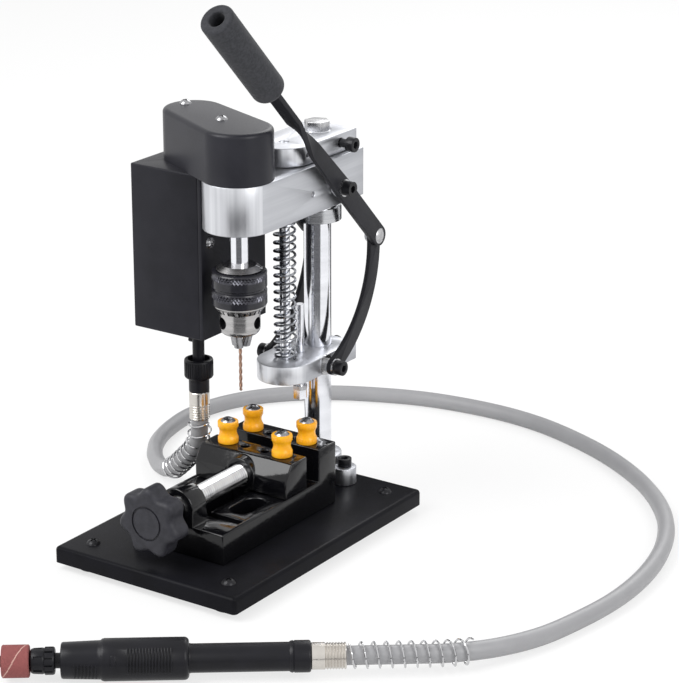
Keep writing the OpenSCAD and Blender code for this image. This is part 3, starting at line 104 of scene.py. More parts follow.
class Axis(Enum):
    """The axis that a flat outline is drawn across, with the places of its coordinates."""

    X = (1, 2, 0)
    Y = (0, 2, 1)
    Z = (0, 1, 2)

    def point(self, u: float, v: float, w: float) -> Vector:
        """Sets an outline's point in space.

        Args:
            u: first coordinate of the outline.
            v: second coordinate of the outline.
            w: place along the axis.

        Returns:
            The point.
        """
        spot = Vector()
        for place, value in zip(self.value, (u, v, w)):
            spot[place] = value
        return spot


@dataclass(frozen=True)
class Finish:
    """A procedural surface: mottled colour, a range of roughness and a fine grain.

    Attributes:
        name: name of the material.
        slot: slot of the record that it belongs to; not used.
        color: main colour.
        shade: second colour of the mottling.
        metallic: 1 for bare metal.
        roughness: lowest and highest roughness.
        mottle: size of the colour mottling, in patches per metre.
        fine: size of the fine grain, in marks per metre.
        grain: how the marks are stretched.
        bump: depth of the fine grain in millimetres.
        specular: strength of the plain reflection.
        coat: strength of a clear top coat.
        sheen: strength of a soft fibre sheen.
    """

    name: str
    slot: str
    color: Color
    shade: Color
    metallic: float = 0.0
    roughness: tuple[float, float] = (0.4, 0.5)
    mottle: float = 60.0
    fine: float = 2000.0
    grain: Grain = Grain.EVEN
    bump: float = 0.02
    specular: float = 0.5
    coat: float = 0.0
    sheen: float = 0.0

    def build(self) -> bpy.types.Material:
        """Makes the material, or returns it where it is made already.

        Returns:
            The material with its nodes.
        """
        ready = bpy.data.materials.get(self.name)
        if ready is not None:
            return ready
        material = bpy.data.materials.new(self.name)
        material.use_nodes = True
        tree = material.node_tree
        shader = tree.nodes["Principled BSDF"]
        shader.inputs["Metallic"].default_value = self.metallic
        shader.inputs["Specular IOR Level"].default_value = self.specular
        shader.inputs["Coat Weight"].default_value = self.coat
        shader.inputs["Coat Roughness"].default_value = COAT_ROUGHNESS
        shader.inputs["Sheen Weight"].default_value = self.sheen
        place = tree.nodes.new("ShaderNodeTexCoord").outputs["Object"]
        stretch = tree.nodes.new("ShaderNodeMapping")
        stretch.inputs["Scale"].default_value = self.grain.value
        tree.links.new(place, stretch.inputs["Vector"])
        along = stretch.outputs["Vector"]
        patches = self.noise(tree, along, self.mottle, MOTTLE_DETAIL)
        tree.links.new(self.ramp(tree, patches, self.shade, self.color), shader.inputs["Base Color"])
        marks = self.noise(tree, along, self.fine, FINE_DETAIL)
        spread = tree.nodes.new("ShaderNodeMapRange")
        for end, seen, rough in zip(("Min", "Max"), NOISE_SPAN, self.roughness):
            spread.inputs["From " + end].default_value = seen
            spread.inputs["To " + end].default_value = rough
        tree.links.new(marks, spread.inputs["Value"])
        tree.links.new(spread.outputs["Result"], shader.inputs["Roughness"])
        bump = tree.nodes.new("ShaderNodeBump")
        bump.inputs["Strength"].default_value = 1.0
        bump.inputs["Distance"].default_value = self.bump * MM
        tree.links.new(marks, bump.inputs["Height"])
        tree.links.new(bump.outputs["Normal"], shader.inputs["Normal"])
        return material

    @staticmethod
    def noise(tree: bpy.types.NodeTree, place: bpy.types.NodeSocket, scale: float,
              detail: float) -> bpy.types.NodeSocket:
        """Adds a noise texture.

        Args:
            tree: the material's nodes.
            place: coordinates that the noise reads.
            scale: patches per metre.
            detail: octaves of finer noise.

        Returns:
            The noise factor's socket.
        """
        node = tree.nodes.new("ShaderNodeTexNoise")
        node.inputs["Scale"].default_value = scale
        node.inputs["Detail"].default_value = detail
        tree.links.new(place, node.inputs["Vector"])
        return node.outputs["Fac"]

    @staticmethod
    def ramp(tree: bpy.types.NodeTree, factor: bpy.types.NodeSocket, low: Color,
             high: Color) -> bpy.types.NodeSocket:
        """Adds a colour ramp between two colours.

        Args:
            tree: the material's nodes.
            factor: the ramp's input.
            low: colour where the factor is low.
            high: colour where it is high.

        Returns:
            The ramp's colour socket.
        """
        node = tree.nodes.new("ShaderNodeValToRGB")
        for stop, position, color in zip(node.color_ramp.elements, RAMP_SPAN, (low, high)):
            stop.position = position
            stop.color = (*color, 1.0)
        tree.links.new(factor, node.inputs["Fac"])
        return node.outputs["Color"]


POWDER_BLACK = Finish("powder_coat", "powder_black", (0.009, 0.009, 0.0115), (0.0075, 0.0075, 0.009),
                      roughness=(0.26, 0.36), fine=2600.0, bump=0.02, specular=0.045)
BOX_BLACK = Finish("box_black", "powder_black", (0.019, 0.019, 0.024), (0.015, 0.015, 0.019),
                   roughness=(0.34, 0.46), fine=2600.0, bump=0.02, specular=0.12)
COVER_BLACK = Finish("cover_black", "black_plastic", (0.019, 0.019, 0.025), (0.015, 0.015, 0.02),
                     roughness=(0.3, 0.4), fine=2600.0, bump=0.015, specular=0.22)
CAST_BLACK = Finish("cast_gloss_black", "vice_iron", (0.004, 0.004, 0.005), (0.003, 0.003, 0.004),
                    roughness=(0.06, 0.16), mottle=40.0, fine=420.0, bump=0.1, specular=0.25, coat=0.25)
# Dark oxide on the screws, and also painted shade inside the chuck's bores, key holes and crown notches.
OXIDE_AND_SHADE_BLACK = Finish("oxide_black", "oxide_steel", (0.014, 0.014, 0.017), (0.009, 0.009, 0.011), metallic=0.3,
                     roughness=(0.26, 0.4), mottle=220.0, fine=3000.0, bump=0.01, specular=0.3)
SLEEVE_BLACK = Finish("sleeve_black", "oxide_steel", (0.017, 0.017, 0.022), (0.013, 0.013, 0.017),
                      roughness=(0.16, 0.24), mottle=300.0, fine=2000.0, bump=0.004, specular=0.4)
KNURL_STEEL = Finish("knurl_steel", "oxide_steel", (0.1, 0.1, 0.115), (0.06, 0.06, 0.07), metallic=1.0,
                     roughness=(0.16, 0.24), mottle=300.0, fine=2000.0, bump=0.002)
LEVER_BLACK = Finish("lever_black", "oxide_steel", (0.018, 0.018, 0.022), (0.013, 0.013, 0.016),
                     roughness=(0.42, 0.55), fine=2400.0, bump=0.015, specular=0.2)
PLASTIC_BLACK = Finish("moulded_black", "black_plastic", (0.009, 0.009, 0.012), (0.007, 0.007, 0.009),
                       roughness=(0.3, 0.4), fine=3000.0, bump=0.01, specular=0.2)
KNOB_BLACK = Finish("knob_black", "black_plastic", (0.03, 0.03, 0.037), (0.021, 0.021, 0.026),
                    roughness=(0.42, 0.56), mottle=300.0, fine=2200.0, bump=0.03, specular=0.25)
RUBBER = Finish("soft_rubber", "rubber", (0.03, 0.03, 0.033), (0.02, 0.02, 0.022), roughness=(0.6, 0.8),
                fine=2600.0, bump=0.03, specular=0.2)
FOAM = Finish("grip_foam", "foam_grip", (0.04, 0.041, 0.047), (0.027, 0.028, 0.032), roughness=(0.75, 0.9),
              mottle=600.0, fine=2000.0, bump=0.08, specular=0.2, sheen=0.1)
MACHINED = Finish("machined_aluminium", "bright_aluminium", (0.58, 0.59, 0.62), (0.47, 0.48, 0.51),
                  metallic=1.0, roughness=(0.38, 0.5), mottle=160.0, fine=1500.0, grain=Grain.ALONG_Y,
                  bump=0.004)
BRUSHED = Finish("brushed_aluminium", "bright_aluminium", (0.74, 0.75, 0.78), (0.56, 0.57, 0.6),
                 metallic=1.0, roughness=(0.28, 0.4), mottle=220.0, fine=1500.0, grain=Grain.ALONG_Z,
                 bump=0.003)
TURNED = Finish("turned_aluminium", "bright_aluminium", (0.66, 0.67, 0.69), (0.5, 0.51, 0.53), metallic=1.0,
                roughness=(0.18, 0.3), mottle=500.0, fine=1800.0, grain=Grain.RINGS_Z, bump=0.004)
CHROME = Finish("chrome_plate", "chrome", (0.88, 0.89, 0.93), (0.78, 0.79, 0.83), metallic=1.0,
                roughness=(0.11, 0.17), mottle=120.0, fine=900.0, grain=Grain.RINGS_Z, bump=0.001)
THREAD = Finish("screw_thread", "chrome", (0.74, 0.74, 0.75), (0.62, 0.62, 0.63), metallic=1.0,
                roughness=(0.16, 0.26), mottle=200.0, fine=1200.0, grain=Grain.RINGS_Y, bump=0.003)
PLATED = Finish("bright_plate", "steel", (0.56, 0.56, 0.57), (0.42, 0.42, 0.43), metallic=1.0,
                roughness=(0.2, 0.3), mottle=300.0, fine=1500.0, bump=0.003)
FERRULE = Finish("warm_plate", "steel", (0.66, 0.63, 0.59), (0.6, 0.57, 0.53), metallic=1.0,
                 roughness=(0.2, 0.26), mottle=120.0, fine=900.0, bump=0.0005)
SCREW_STEEL = Finish("screw_steel", "steel", (0.36, 0.36, 0.37), (0.28, 0.28, 0.29), metallic=1.0,
                     roughness=(0.2, 0.3), mottle=300.0, fine=1500.0, bump=0.002)
STEEL = Finish("bright_steel", "steel", (0.52, 0.51, 0.51), (0.42, 0.415, 0.415), metallic=1.0,
               roughness=(0.2, 0.3), mottle=260.0, fine=1600.0, grain=Grain.RINGS_Z, bump=0.002)
SPRING_WIRE = Finish("spring_wire", "steel", (0.36, 0.37, 0.4), (0.26, 0.27, 0.29), metallic=1.0,
                     roughness=(0.12, 0.22), mottle=300.0, fine=1800.0, bump=0.003)
GUARD_WIRE = Finish("guard_wire", "steel", (0.62, 0.62, 0.63), (0.5, 0.5, 0.51), metallic=1.0,
                    roughness=(0.08, 0.16), mottle=300.0, fine=1800.0, bump=0.002)
GOLD = Finish("drill_coat", "steel", (0.42, 0.27, 0.2), (0.32, 0.2, 0.15), metallic=1.0,
              roughness=(0.2, 0.32), mottle=500.0, fine=2500.0, bump=0.003)
BRONZE = Finish("bush_bronze", "bronze", (0.45, 0.3, 0.14), (0.36, 0.23, 0.1), metallic=1.0,
                roughness=(0.3, 0.45), mottle=400.0, fine=2500.0, bump=0.004)
ORANGE = Finish("orange_moulding", "orange_plastic", (1.0, 0.47, 0.015), (0.98, 0.42, 0.012),
                roughness=(0.2, 0.3), mottle=160.0, fine=700.0, bump=0.006, specular=0.3, coat=0.1)
HOSE_GREY = Finish("hose_sheath", "hose_grey", (0.32, 0.32, 0.33), (0.305, 0.305, 0.315),
                   roughness=(0.34, 0.44), mottle=90.0, fine=1600.0, bump=0.008, specular=0.3)
GRIT = Finish("sanding_grit", "grit_red", (0.31, 0.09, 0.085), (0.15, 0.04, 0.04), roughness=(0.75, 0.95),
              mottle=2600.0, fine=3200.0, bump=0.12)
SEAM = Finish("grit_seam", "grit_red", (0.55, 0.34, 0.3), (0.46, 0.27, 0.23), roughness=(0.6, 0.8),
              mottle=1500.0, fine=3000.0, bump=0.03)

PLAIN: dict[Finish, tuple[str, ...]] = {
    OXIDE_AND_SHADE_BLACK: ("foot_screws", "lever_screws"),
    PLASTIC_BLACK: ("outlet_sleeve", "power_socket"),
    RUBBER: ("rubber_feet", "drive_belt"),
    TURNED: ("spindle_pulley", "motor_pulley", "column_bushes"),
    CHROME: ("column", "guide_rod", "stop_bolt", "spindle_shaft"),
    PLATED: ("lever_washers", "link_spacers", "stop_nut"),
    SCREW_STEEL: ("fixed_peg_screws", "moving_peg_screws", "head_screws", "chuck_jaw_1", "chuck_jaw_2",
                  "chuck_jaw_3"),
    STEEL: ("spindle_bearings", "motor_can", "cross_shaft", "motor_shaft"),
    BRONZE: ("rod_bush",),
}


class Bench:
    """Modelling steps on one object at a time, through Blender's own operators."""

    @staticmethod
    def clear() -> None:
        """Leaves edit mode and deselects everything."""
        if bpy.context.mode != "OBJECT":
            bpy.ops.object.mode_set(mode="OBJECT")
        bpy.ops.object.select_all(action="DESELECT")

    @staticmethod
    def focus(obj: bpy.types.Object) -> None:
        """Makes one object the selected and active one."""
        Bench.clear()
        obj.select_set(True)
        bpy.context.view_layer.objects.active = obj

    @staticmethod
    @contextmanager
    def edit(obj: bpy.types.Object) -> Iterator[None]:
        """Opens an object in edit mode with everything deselected.

        Args:
            obj: the object.

        Returns:
            A context that ends back in object mode.
        """
        Bench.focus(obj)
        bpy.ops.object.mode_set(mode="EDIT")
        bpy.ops.mesh.select_mode(type="FACE")
        bpy.ops.mesh.select_all(action="DESELECT")
        yield
        bpy.ops.object.mode_set(mode="OBJECT")

    @staticmethod
    def pick(obj: bpy.types.Object, wanted: Callable[[Vector, Vector], bool]) -> None:
        """Selects the faces that a test names, and no others.

        Args:
            obj: the object in edit mode.
            wanted: test on a face's middle, in millimetres, and its normal.
        """
        bpy.ops.mesh.select_mode(type="FACE")
        bpy.ops.mesh.select_all(action="DESELECT")
        mesh = bmesh.from_edit_mesh(obj.data)
        mesh.normal_update()
        for one in [one for one in mesh.faces if wanted(one.calc_center_median() / MM, one.normal)]:
            one.select_set(True)
        bmesh.update_edit_mesh(obj.data)

    @staticmethod
    def pick_edges(obj: bpy.types.Object, wanted: Callable[[Vector, Vector], bool]) -> None:
        """Selects the edges that a test names, and no others.

        Args:
            obj: the object in edit mode.
            wanted: test on an edge's two ends, in millimetres.
        """
        bpy.ops.mesh.select_mode(type="EDGE")
        bpy.ops.mesh.select_all(action="DESELECT")
        mesh = bmesh.from_edit_mesh(obj.data)
        for one in mesh.edges:
            one.select_set(wanted(one.verts[0].co / MM, one.verts[1].co / MM))
        bmesh.update_edit_mesh(obj.data)

    @staticmethod
    def pick_points(obj: bpy.types.Object, wanted: Callable[[Vector], bool]) -> None:
        """Selects the points that a test names, and no others.

        Args:
            obj: the object in edit mode.
            wanted: test on a point, in millimetres.
        """
        bpy.ops.mesh.select_mode(type="VERT")
        bpy.ops.mesh.select_all(action="DESELECT")
        mesh = bmesh.from_edit_mesh(obj.data)
        for one in mesh.verts:
            one.select_set(wanted(one.co / MM))
        bmesh.update_edit_mesh(obj.data)

    @staticmethod
    def push(way: Vector) -> None:
        """Extrudes the selected faces by a vector in millimetres."""
        bpy.ops.mesh.extrude_region_move(TRANSFORM_OT_translate={"value": tuple(way * MM)})

    @staticmethod
    def swell(rise: float) -> None:
        """Extrudes the selected faces along their normals by a height in millimetres."""
        bpy.ops.mesh.extrude_region_shrink_fatten(TRANSFORM_OT_shrink_fatten={"value": rise * MM})

    @staticmethod
    def take(name: str) -> bpy.types.Object:
        """Names the primitive that was just added and applies its place.

        Args:
            name: the piece's name.

        Returns:
            The object, at the origin.
        """
        obj = bpy.context.active_object
        obj.name = name
        obj.data.name = name
        bpy.ops.object.transform_apply(location=True, rotation=True, scale=True)
        return obj

    @staticmethod
    def tidy(obj: bpy.types.Object) -> None:
        """Merges doubled points and turns all faces outward."""
        with Bench.edit(obj):
            bpy.ops.mesh.select_all(action="SELECT")
            bpy.ops.mesh.remove_doubles(threshold=MERGE_GAP)
            bpy.ops.mesh.normals_make_consistent(inside=False)

    @staticmethod
    def block(name: str, low: Point, high: Point) -> bpy.types.Object:
        """Makes a block between two corners, as a start for other steps.

        Args:
            name: the piece's name.
            low: lowest corner.
            high: highest corner.

        Returns:
            The block.
        """
        Bench.clear()
        middle = (Vector(low) + Vector(high)) / 2 * MM
        bpy.ops.mesh.primitive_cube_add(size=1.0, location=middle, scale=(Vector(high) - Vector(low)) * MM)
        return Bench.take(name)

    @staticmethod
    def ring(name: str, points: Sequence[Vector], filled: bool) -> bpy.types.Object:
        """Makes a closed loop of points.

        Args:
            name: the piece's name.
            points: the loop in millimetres.
            filled: whether a face spans it.

        Returns:
            The loop.
        """
        Bench.clear()
        bpy.ops.mesh.primitive_circle_add(vertices=len(points), fill_type="NGON" if filled else "NOTHING")
        obj = Bench.take(name)
        for vert, point in zip(obj.data.vertices, points):
            vert.co = point * MM
        return obj

    @staticmethod
    def prism(name: str, outline: Outline, axis: Axis, low: float, high: float) -> bpy.types.Object:
        """Extrudes an outline along an axis.

        Args:
            name: the piece's name.
            outline: the outline's points.
            axis: axis of the extrusion.
            low: place where it starts.
            high: place where it ends.

        Returns:
            The prism.
        """
        obj = Bench.ring(name, [axis.point(u, v, low) for u, v in outline], True)
        with Bench.edit(obj):
            bpy.ops.mesh.select_all(action="SELECT")
            Bench.push(axis.point(0.0, 0.0, high - low))
        Bench.tidy(obj)
        return obj

    @staticmethod
    def lathe(name: str, profile: Outline, steps: int) -> bpy.types.Object:
        """Spins a closed profile of radius and height points about the Z axis.

        Args:
            name: the piece's name.
            profile: the profile's points.
            steps: steps of a turn.

        Returns:
            The turned piece.
        """
        obj = Bench.ring(name, [Vector((r, 0.0, z)) for r, z in profile], False)
        with Bench.edit(obj):
            bpy.ops.mesh.select_mode(type="VERT")
            bpy.ops.mesh.select_all(action="SELECT")
            bpy.ops.mesh.spin(steps=steps, angle=math.tau, center=(0, 0, 0), axis=(0, 0, 1))
        Bench.tidy(obj)
        with Bench.edit(obj):
            bpy.ops.mesh.select_all(action="SELECT")
            bpy.ops.mesh.delete_loose()
        return obj

    @staticmethod
    def place(obj: bpy.types.Object, matrix: Matrix) -> bpy.types.Object:
        """Moves a piece and applies the move.

        Args:
            obj: the piece.
            matrix: the move, in millimetres.

        Returns:
            The piece, with its object at the origin.
        """
        move = matrix.copy()
        move.translation = move.translation * MM
        Bench.focus(obj)
        obj.matrix_world = move
        bpy.ops.object.transform_apply(location=True, rotation=True, scale=True)
        return obj

    @staticmethod
    def bevel(obj: bpy.types.Object, width: float, segments: int, degrees: float = 30.0) -> None:
        """Rounds every edge that turns more than an angle.

        Args:
            obj: the piece.
            width: width of the rounding.
            segments: steps across it.
            degrees: the angle.
        """
        Bench.focus(obj)
        modifier = obj.modifiers.new("round", "BEVEL")
        modifier.width = width * MM
        modifier.segments = segments
        modifier.limit_method = "ANGLE"
        modifier.angle_limit = math.radians(degrees)
        modifier.use_clamp_overlap = False
        bpy.ops.object.modifier_apply(modifier=modifier.name)
        Bench.smooth(obj, 40.0)

    @staticmethod
    def combine(obj: bpy.types.Object, tool: bpy.types.Object, operation: str = "DIFFERENCE") -> None:
        """Cuts a tool out of a piece, or adds it.

        Args:
            obj: the piece.
            tool: the other object, which is used up.
            operation: DIFFERENCE or UNION.
        """
        Bench.focus(obj)
        modifier = obj.modifiers.new("combine", "BOOLEAN")
        modifier.operation = operation
        modifier.solver = "EXACT"
        modifier.object = tool
        bpy.ops.object.modifier_apply(modifier=modifier.name)
        bpy.data.objects.remove(tool)

    @staticmethod
    def join(obj: bpy.types.Object, other: bpy.types.Object) -> None:
        """Adds another object's mesh to a piece, with its finishes."""
        Bench.focus(obj)
        other.select_set(True)
        bpy.ops.object.join()

    @staticmethod
    def copy_of(name: str, node: str) -> bpy.types.Object:
        """Copies one of the frame's solids, merged and with its flat faces joined.

        Args:
            name: the piece's name.
            node: the solid's name.

        Returns:
            The copy.
        """
        Bench.clear()
        obj = bpy.data.objects.new(name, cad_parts[node].data.copy())
        obj.data.name = name
        obj.data.materials.clear()
        bpy.context.scene.collection.objects.link(obj)
        Bench.tidy(obj)
        with Bench.edit(obj):
            bpy.ops.mesh.select_all(action="SELECT")
            bpy.ops.mesh.dissolve_limited(angle_limit=math.radians(FLAT_ANGLE))
        return obj

    @staticmethod
    def smooth(obj: bpy.types.Object, degrees: float = 35.0) -> None:
        """Shades an object smooth up to an edge angle.

        Args:
            obj: the object.
            degrees: edges that turn more stay sharp.
        """
        Bench.focus(obj)
        bpy.ops.object.shade_smooth_by_angle(angle=math.radians(degrees))

    @staticmethod
    def tube(name: str, points: Sequence[Vector], radius: float, sides: int) -> bpy.types.Object:
        """Makes a round tube that follows points.

        Args:
            name: the piece's name.
            points: the centre line in millimetres.
            radius: the tube's radius.
            sides: sides of its section, a multiple of four.

        Returns:
            The tube as a mesh with closed ends.
        """
        Bench.clear()
        curve = bpy.data.curves.new(name, "CURVE")
        curve.dimensions = "3D"
        curve.twist_mode = "MINIMUM"
        curve.bevel_depth = radius * MM
        curve.bevel_resolution = max(sides // 4 - 1, 0)
        curve.use_fill_caps = True
        spline = curve.splines.new("POLY")
        spline.points.add(len(points) - 1)
        for knot, point in zip(spline.points, points):
            knot.co = (*(point * MM), 1.0)
        obj = bpy.data.objects.new(name, curve)
        bpy.context.scene.collection.objects.link(obj)
        Bench.focus(obj)
        bpy.ops.object.convert(target="MESH")
        obj = bpy.context.active_object
        Bench.tidy(obj)
        Bench.smooth(obj, 50.0)
        return obj

    @staticmethod
    def dress(obj: bpy.types.Object, *finishes: Finish) -> None:
        """Gives an object its finishes, the first one all over."""
        obj.data.materials.clear()
        for finish in finishes:
            obj.data.materials.append(finish.build())

    @staticmethod
    def paint(obj: bpy.types.Object, finish: int, wanted: Callable[[Vector, Vector], bool]) -> None:
        """Gives the faces that a test names another of an object's finishes.

        Args:
            obj: the object, already dressed.
            finish: the finish's place among the object's own.
            wanted: test on a face's middle, in millimetres, and its normal.
        """
        for one in obj.data.polygons:
            if wanted(one.center / MM, one.normal):
                one.material_index = finish

    @staticmethod
    def hand_over(obj: bpy.types.Object, body: str, finish: Finish, *nodes: str) -> None:
        """Fixes a finished piece to its body and lets it stand for nodes.

        Args:
            obj: the piece, which is dressed here unless it has its finishes.
            body: the body that it rides.
            finish: its main finish.
            nodes: the solids that it stands for.
        """
        if not obj.data.materials:
            Bench.dress(obj, finish)
        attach(obj, body)
        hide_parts(*nodes)
        LOG.info("%s: %d faces", obj.name, len(obj.data.polygons))


def arc(radius: float, start: float, end: float, steps: int, u: float = 0.0,
        v: float = 0.0) -> list[tuple[float, float]]:
    """Gives points on an arc.

    Args:
        radius: the arc's radius.
        start: angle of its first point, in degrees.
        end: angle of its last point.
        steps: stretches between points.
        u: first coordinate of its centre.
        v: second coordinate of its centre.

    Returns:
        The points.
    """
    turns = [math.radians(start + (end - start) * i / steps) for i in range(steps + 1)]
    return [(u + radius * math.cos(a), v + radius * math.sin(a)) for a in turns]


def circle(radius: float, count: int, u: float = 0.0, v: float = 0.0) -> list[tuple[float, float]]:
    """Gives the points of a full circle, each of them once."""
    return arc(radius, 0.0, 360.0 - 360.0 / count, count - 1, u, v)


def around(spot: Vector) -> float:
    """Gives a point's angle round the Z axis, in degrees."""
    return math.degrees(math.atan2(spot.y, spot.x))


def side_of(spot: Vector) -> float:
    """Gives a point's angle round the Z axis from the Y axis towards the X axis, in degrees."""
    return math.degrees(math.atan2(spot.x, spot.y))


def turned(degrees: float, axis: str) -> Matrix:
    """Gives a turn about the X, Y or Z axis."""
    return Matrix.Rotation(math.radians(degrees), 4, axis)


def sector(spot: Vector, count: int) -> int:
    """Tells which of a turn's equal sectors a point lies in."""
    return int((around(spot) + 360.0) // (360.0 / count))


def apart(a: float, b: float) -> float:
    """Gives the difference between two angles, in degrees, at most 180."""
    return abs((a - b + 180.0) % 360.0 - 180.0)


def smooth_line(points: Sequence[Vector], steps: int) -> list[Vector]:
    """Fills a route in on the smooth curve through its points.

    Args:
        points: the route.
        steps: stretches between two points.

    Returns:
        The filled-in line, which starts and ends where the route does.
    """
    line: list[Vector] = []
    last = len(points) - 1
    for i in range(last):
        a, b, c, d = points[max(i - 1, 0)], points[i], points[i + 1], points[min(i + 2, last)]
        for k in range(steps):
            f = k / steps
            line.append(0.5 * (2 * b + (c - a) * f + (2 * a - 5 * b + 4 * c - d) * f ** 2
                               + (3 * b - a - 3 * c + d) * f ** 3))
    line.append(points[last].copy())
    return line


def lengths(line: Sequence[Vector]) -> list[float]:
    """Gives the length along a line at each of its points."""
    total = [0.0]
    for a, b in zip(line, line[1:]):
        total.append(total[-1] + (b - a).length)
    return total


def place_at(line: Sequence[Vector], marks: Sequence[float], length: float) -> Vector:
    """Finds the point at a length along a line.

    Args:
        line: the line's points.
        marks: the length at each of them.
        length: the wanted length.

    Returns:
        The point.
    """
    for i in range(len(line) - 1):
        if marks[i + 1] >= length:
            share = (length - marks[i]) / max(marks[i + 1] - marks[i], 1e-9)
            return line[i].lerp(line[i + 1], share)
    return line[-1].copy()


@dataclass
class FlexShaft:
    """The flexible shaft's hose with its two wire guards and ferrules.

    The route's points are steps from the start: two along the bench, then the share of the fall to the bench.
    A ferrule's pair is its radius and length.
    """

    start: Point = (*MOTOR_AT, 58.0)
    end: Point = (145.4, -109.0, 11.0)
    hand_turn: float = HAND_TURN
    lead: float = 8.0
    floor: float = 5.2
    diameter: float = 10.0
    sides: int = 20
    route_steps: int = 8
    wire: float = 1.2
    room: float = 1.0
    turns: int = 10
    guard_start: float = 1.6
    guard_len: float = 66.0
    bend_end: Point = (-67.3, 32.3, 14.6)
    bench_x: float = -10.0
    top_ferrule: tuple[float, float] = (6.0, 17.0)
    hand_ferrule: tuple[float, float] = (7.0, 18.0)
    ferrule_edge: float = 0.4
    ring_from: float = 0.8
    ring_share: float = 0.6
    ring_pitch: float = 1.5
    ring_depth: float = 0.5
    route: Sequence[Point] = (
        (0, 0, 0), (0, 0, 0.06), (-1.2, 0.6, 0.21), (-4.4, 2.2, 0.345), (-9.5, 4.9, 0.46), (-17, 8.5, 0.585),
        (-25, 12.5, 0.72), (-34, 17.5, 0.85), (-45, 24, 0.95), (-58, 33, 0.995), (-71, 46, 1), (-82, 64, 1),
        (-89, 86, 1), (-92, 110, 1), (-88, 136, 1), (-77, 159, 1), (-60, 179, 1), (-38, 196, 1),
        (-12, 209, 1), (16, 219, 1), (45, 224, 1), (75, 225, 1), (104, 221, 1), (132, 212, 1),
        (159, 200, 1), (184, 185, 1), (207, 167, 1), (227, 146, 1), (243, 123, 1), (255, 97, 1),
        (263, 69, 1), (267, 40, 1), (267, 11, 1), (263, -18, 1), (257, -46, 0.99), (247, -72, 0.96),
        (233, -94, 0.925), (217, -110, 0.9),
    )
    line: list[Vector] = field(default_factory=list)

    def build(self) -> None:
        start, end = Vector(self.start), Vector(self.end)
        along = Vector((math.cos(math.radians(self.hand_turn)), math.sin(math.radians(self.hand_turn)), 0.0))
        fall = start.z - self.floor
        knots = [start + Vector((x, y, -fall * share)) for x, y, share in self.route]
        knots += [end - self.lead * along, end]
        self.line = smooth_line(knots, self.route_steps)
        marks = lengths(self.line)
        hose = Bench.tube("hose", self.line, self.diameter / 2, self.sides)
        upper = self.guard("upper_guard", marks, self.guard_start, self.guard_len, Vector((1, 0, 0)))
        lower = self.guard("lower_guard", marks, marks[-1] - self.guard_start, marks[-1] - self.guard_len,
                           Vector((0, 0, 1)))
        top = self.ferrule("top_ferrule", *self.top_ferrule)
        Bench.hand_over(Bench.place(top, Matrix.Translation(start)), "head", FERRULE, "hose_ferrule")
        lie = Matrix.Translation(end) @ turned(self.hand_turn, "Z") @ turned(90.0, "Y")
        hand = self.ferrule("hand_ferrule", *self.hand_ferrule)
        Bench.hand_over(Bench.place(hand, lie), "frame", FERRULE, "handpiece_ferrule")
        Bench.dress(hose, HOSE_GREY)
        bend = {"start": tuple(Vector(self.start) * MM), "end": tuple(Vector(self.bend_end) * MM)}
        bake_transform(hose, "head", "frame", **bend)
        self.hold_far_side(hose)
        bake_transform(upper, "head", "frame", **bend)
        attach(lower, "frame")
        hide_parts("flex_hose")
        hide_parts("hose_guard")
        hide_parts("handpiece_guard")
        LOG.info("hose %.0f mm long, with two wire guards", marks[-1])

    def hold_far_side(self, hose: bpy.types.Object) -> None:
        """Keeps the hose's far side with the frame, where the line of the blend would move it with the head.

        Args:
            hose: the blended hose.
        """
        for point, share in zip(hose.data.vertices, hose.data.attributes[BLEND_SHARE].data):
            if point.co.x > self.bench_x * MM:
                share.value = 1.0

    def guard(self, name: str, marks: Sequence[float], s0: float, s1: float,
              side: Vector) -> bpy.types.Object:
        """Winds a wire guard round the hose.

        Args:
            name: the piece's name.
            marks: the length along the hose at each point of its line.
            s0: length along the hose where the guard starts.
            s1: length where it ends.
            side: a direction to start the winding from.

        Returns:
            The guard.
        """
        count = COIL_STEPS * self.turns
        core = [place_at(self.line, marks, s0 + (s1 - s0) * i / count) for i in range(count + 1)]
        radius = self.diameter / 2 + self.room + self.wire / 2
        coil: list[Vector] = []
        across = side
        for i, point in enumerate(core):
            tangent = (core[min(i + 1, count)] - core[max(i - 1, 0)]).normalized()
            across = (across - across.dot(tangent) * tangent).normalized()
            angle = math.tau * i / COIL_STEPS
            coil.append(point + radius * (math.cos(angle) * across + math.sin(angle) * tangent.cross(across)))
        obj = Bench.tube(name, coil, self.wire / 2, WIRE_SIDES)
        Bench.dress(obj, GUARD_WIRE)
        return obj

    def ferrule(self, name: str, radius: float, length: float) -> bpy.types.Object:
        """Turns a ferrule with ring grooves over the half that holds the hose.

        Args:
            name: the piece's name.
            radius: its radius.
            length: its length.

        Returns:
            The ferrule along the Z axis, with the hose's end at the origin.
        """
        edge, pitch, valley = self.ferrule_edge, self.ring_pitch, radius - self.ring_depth
        profile = [(0.0, 0.0), (radius - edge, 0.0), (radius, edge)]
        for i in range(int(self.ring_share * length / pitch)):
            z = self.ring_from + pitch * i
            profile += [(radius, z), (valley, z + 0.3 * pitch), (valley, z + 0.5 * pitch),
                        (radius, z + 0.8 * pitch)]
        profile += [(radius, length - edge), (radius - 0.3, length), (0.0, length)]
        obj = Bench.lathe(name, profile, 48)
        Bench.smooth(obj, 30.0)
        return obj


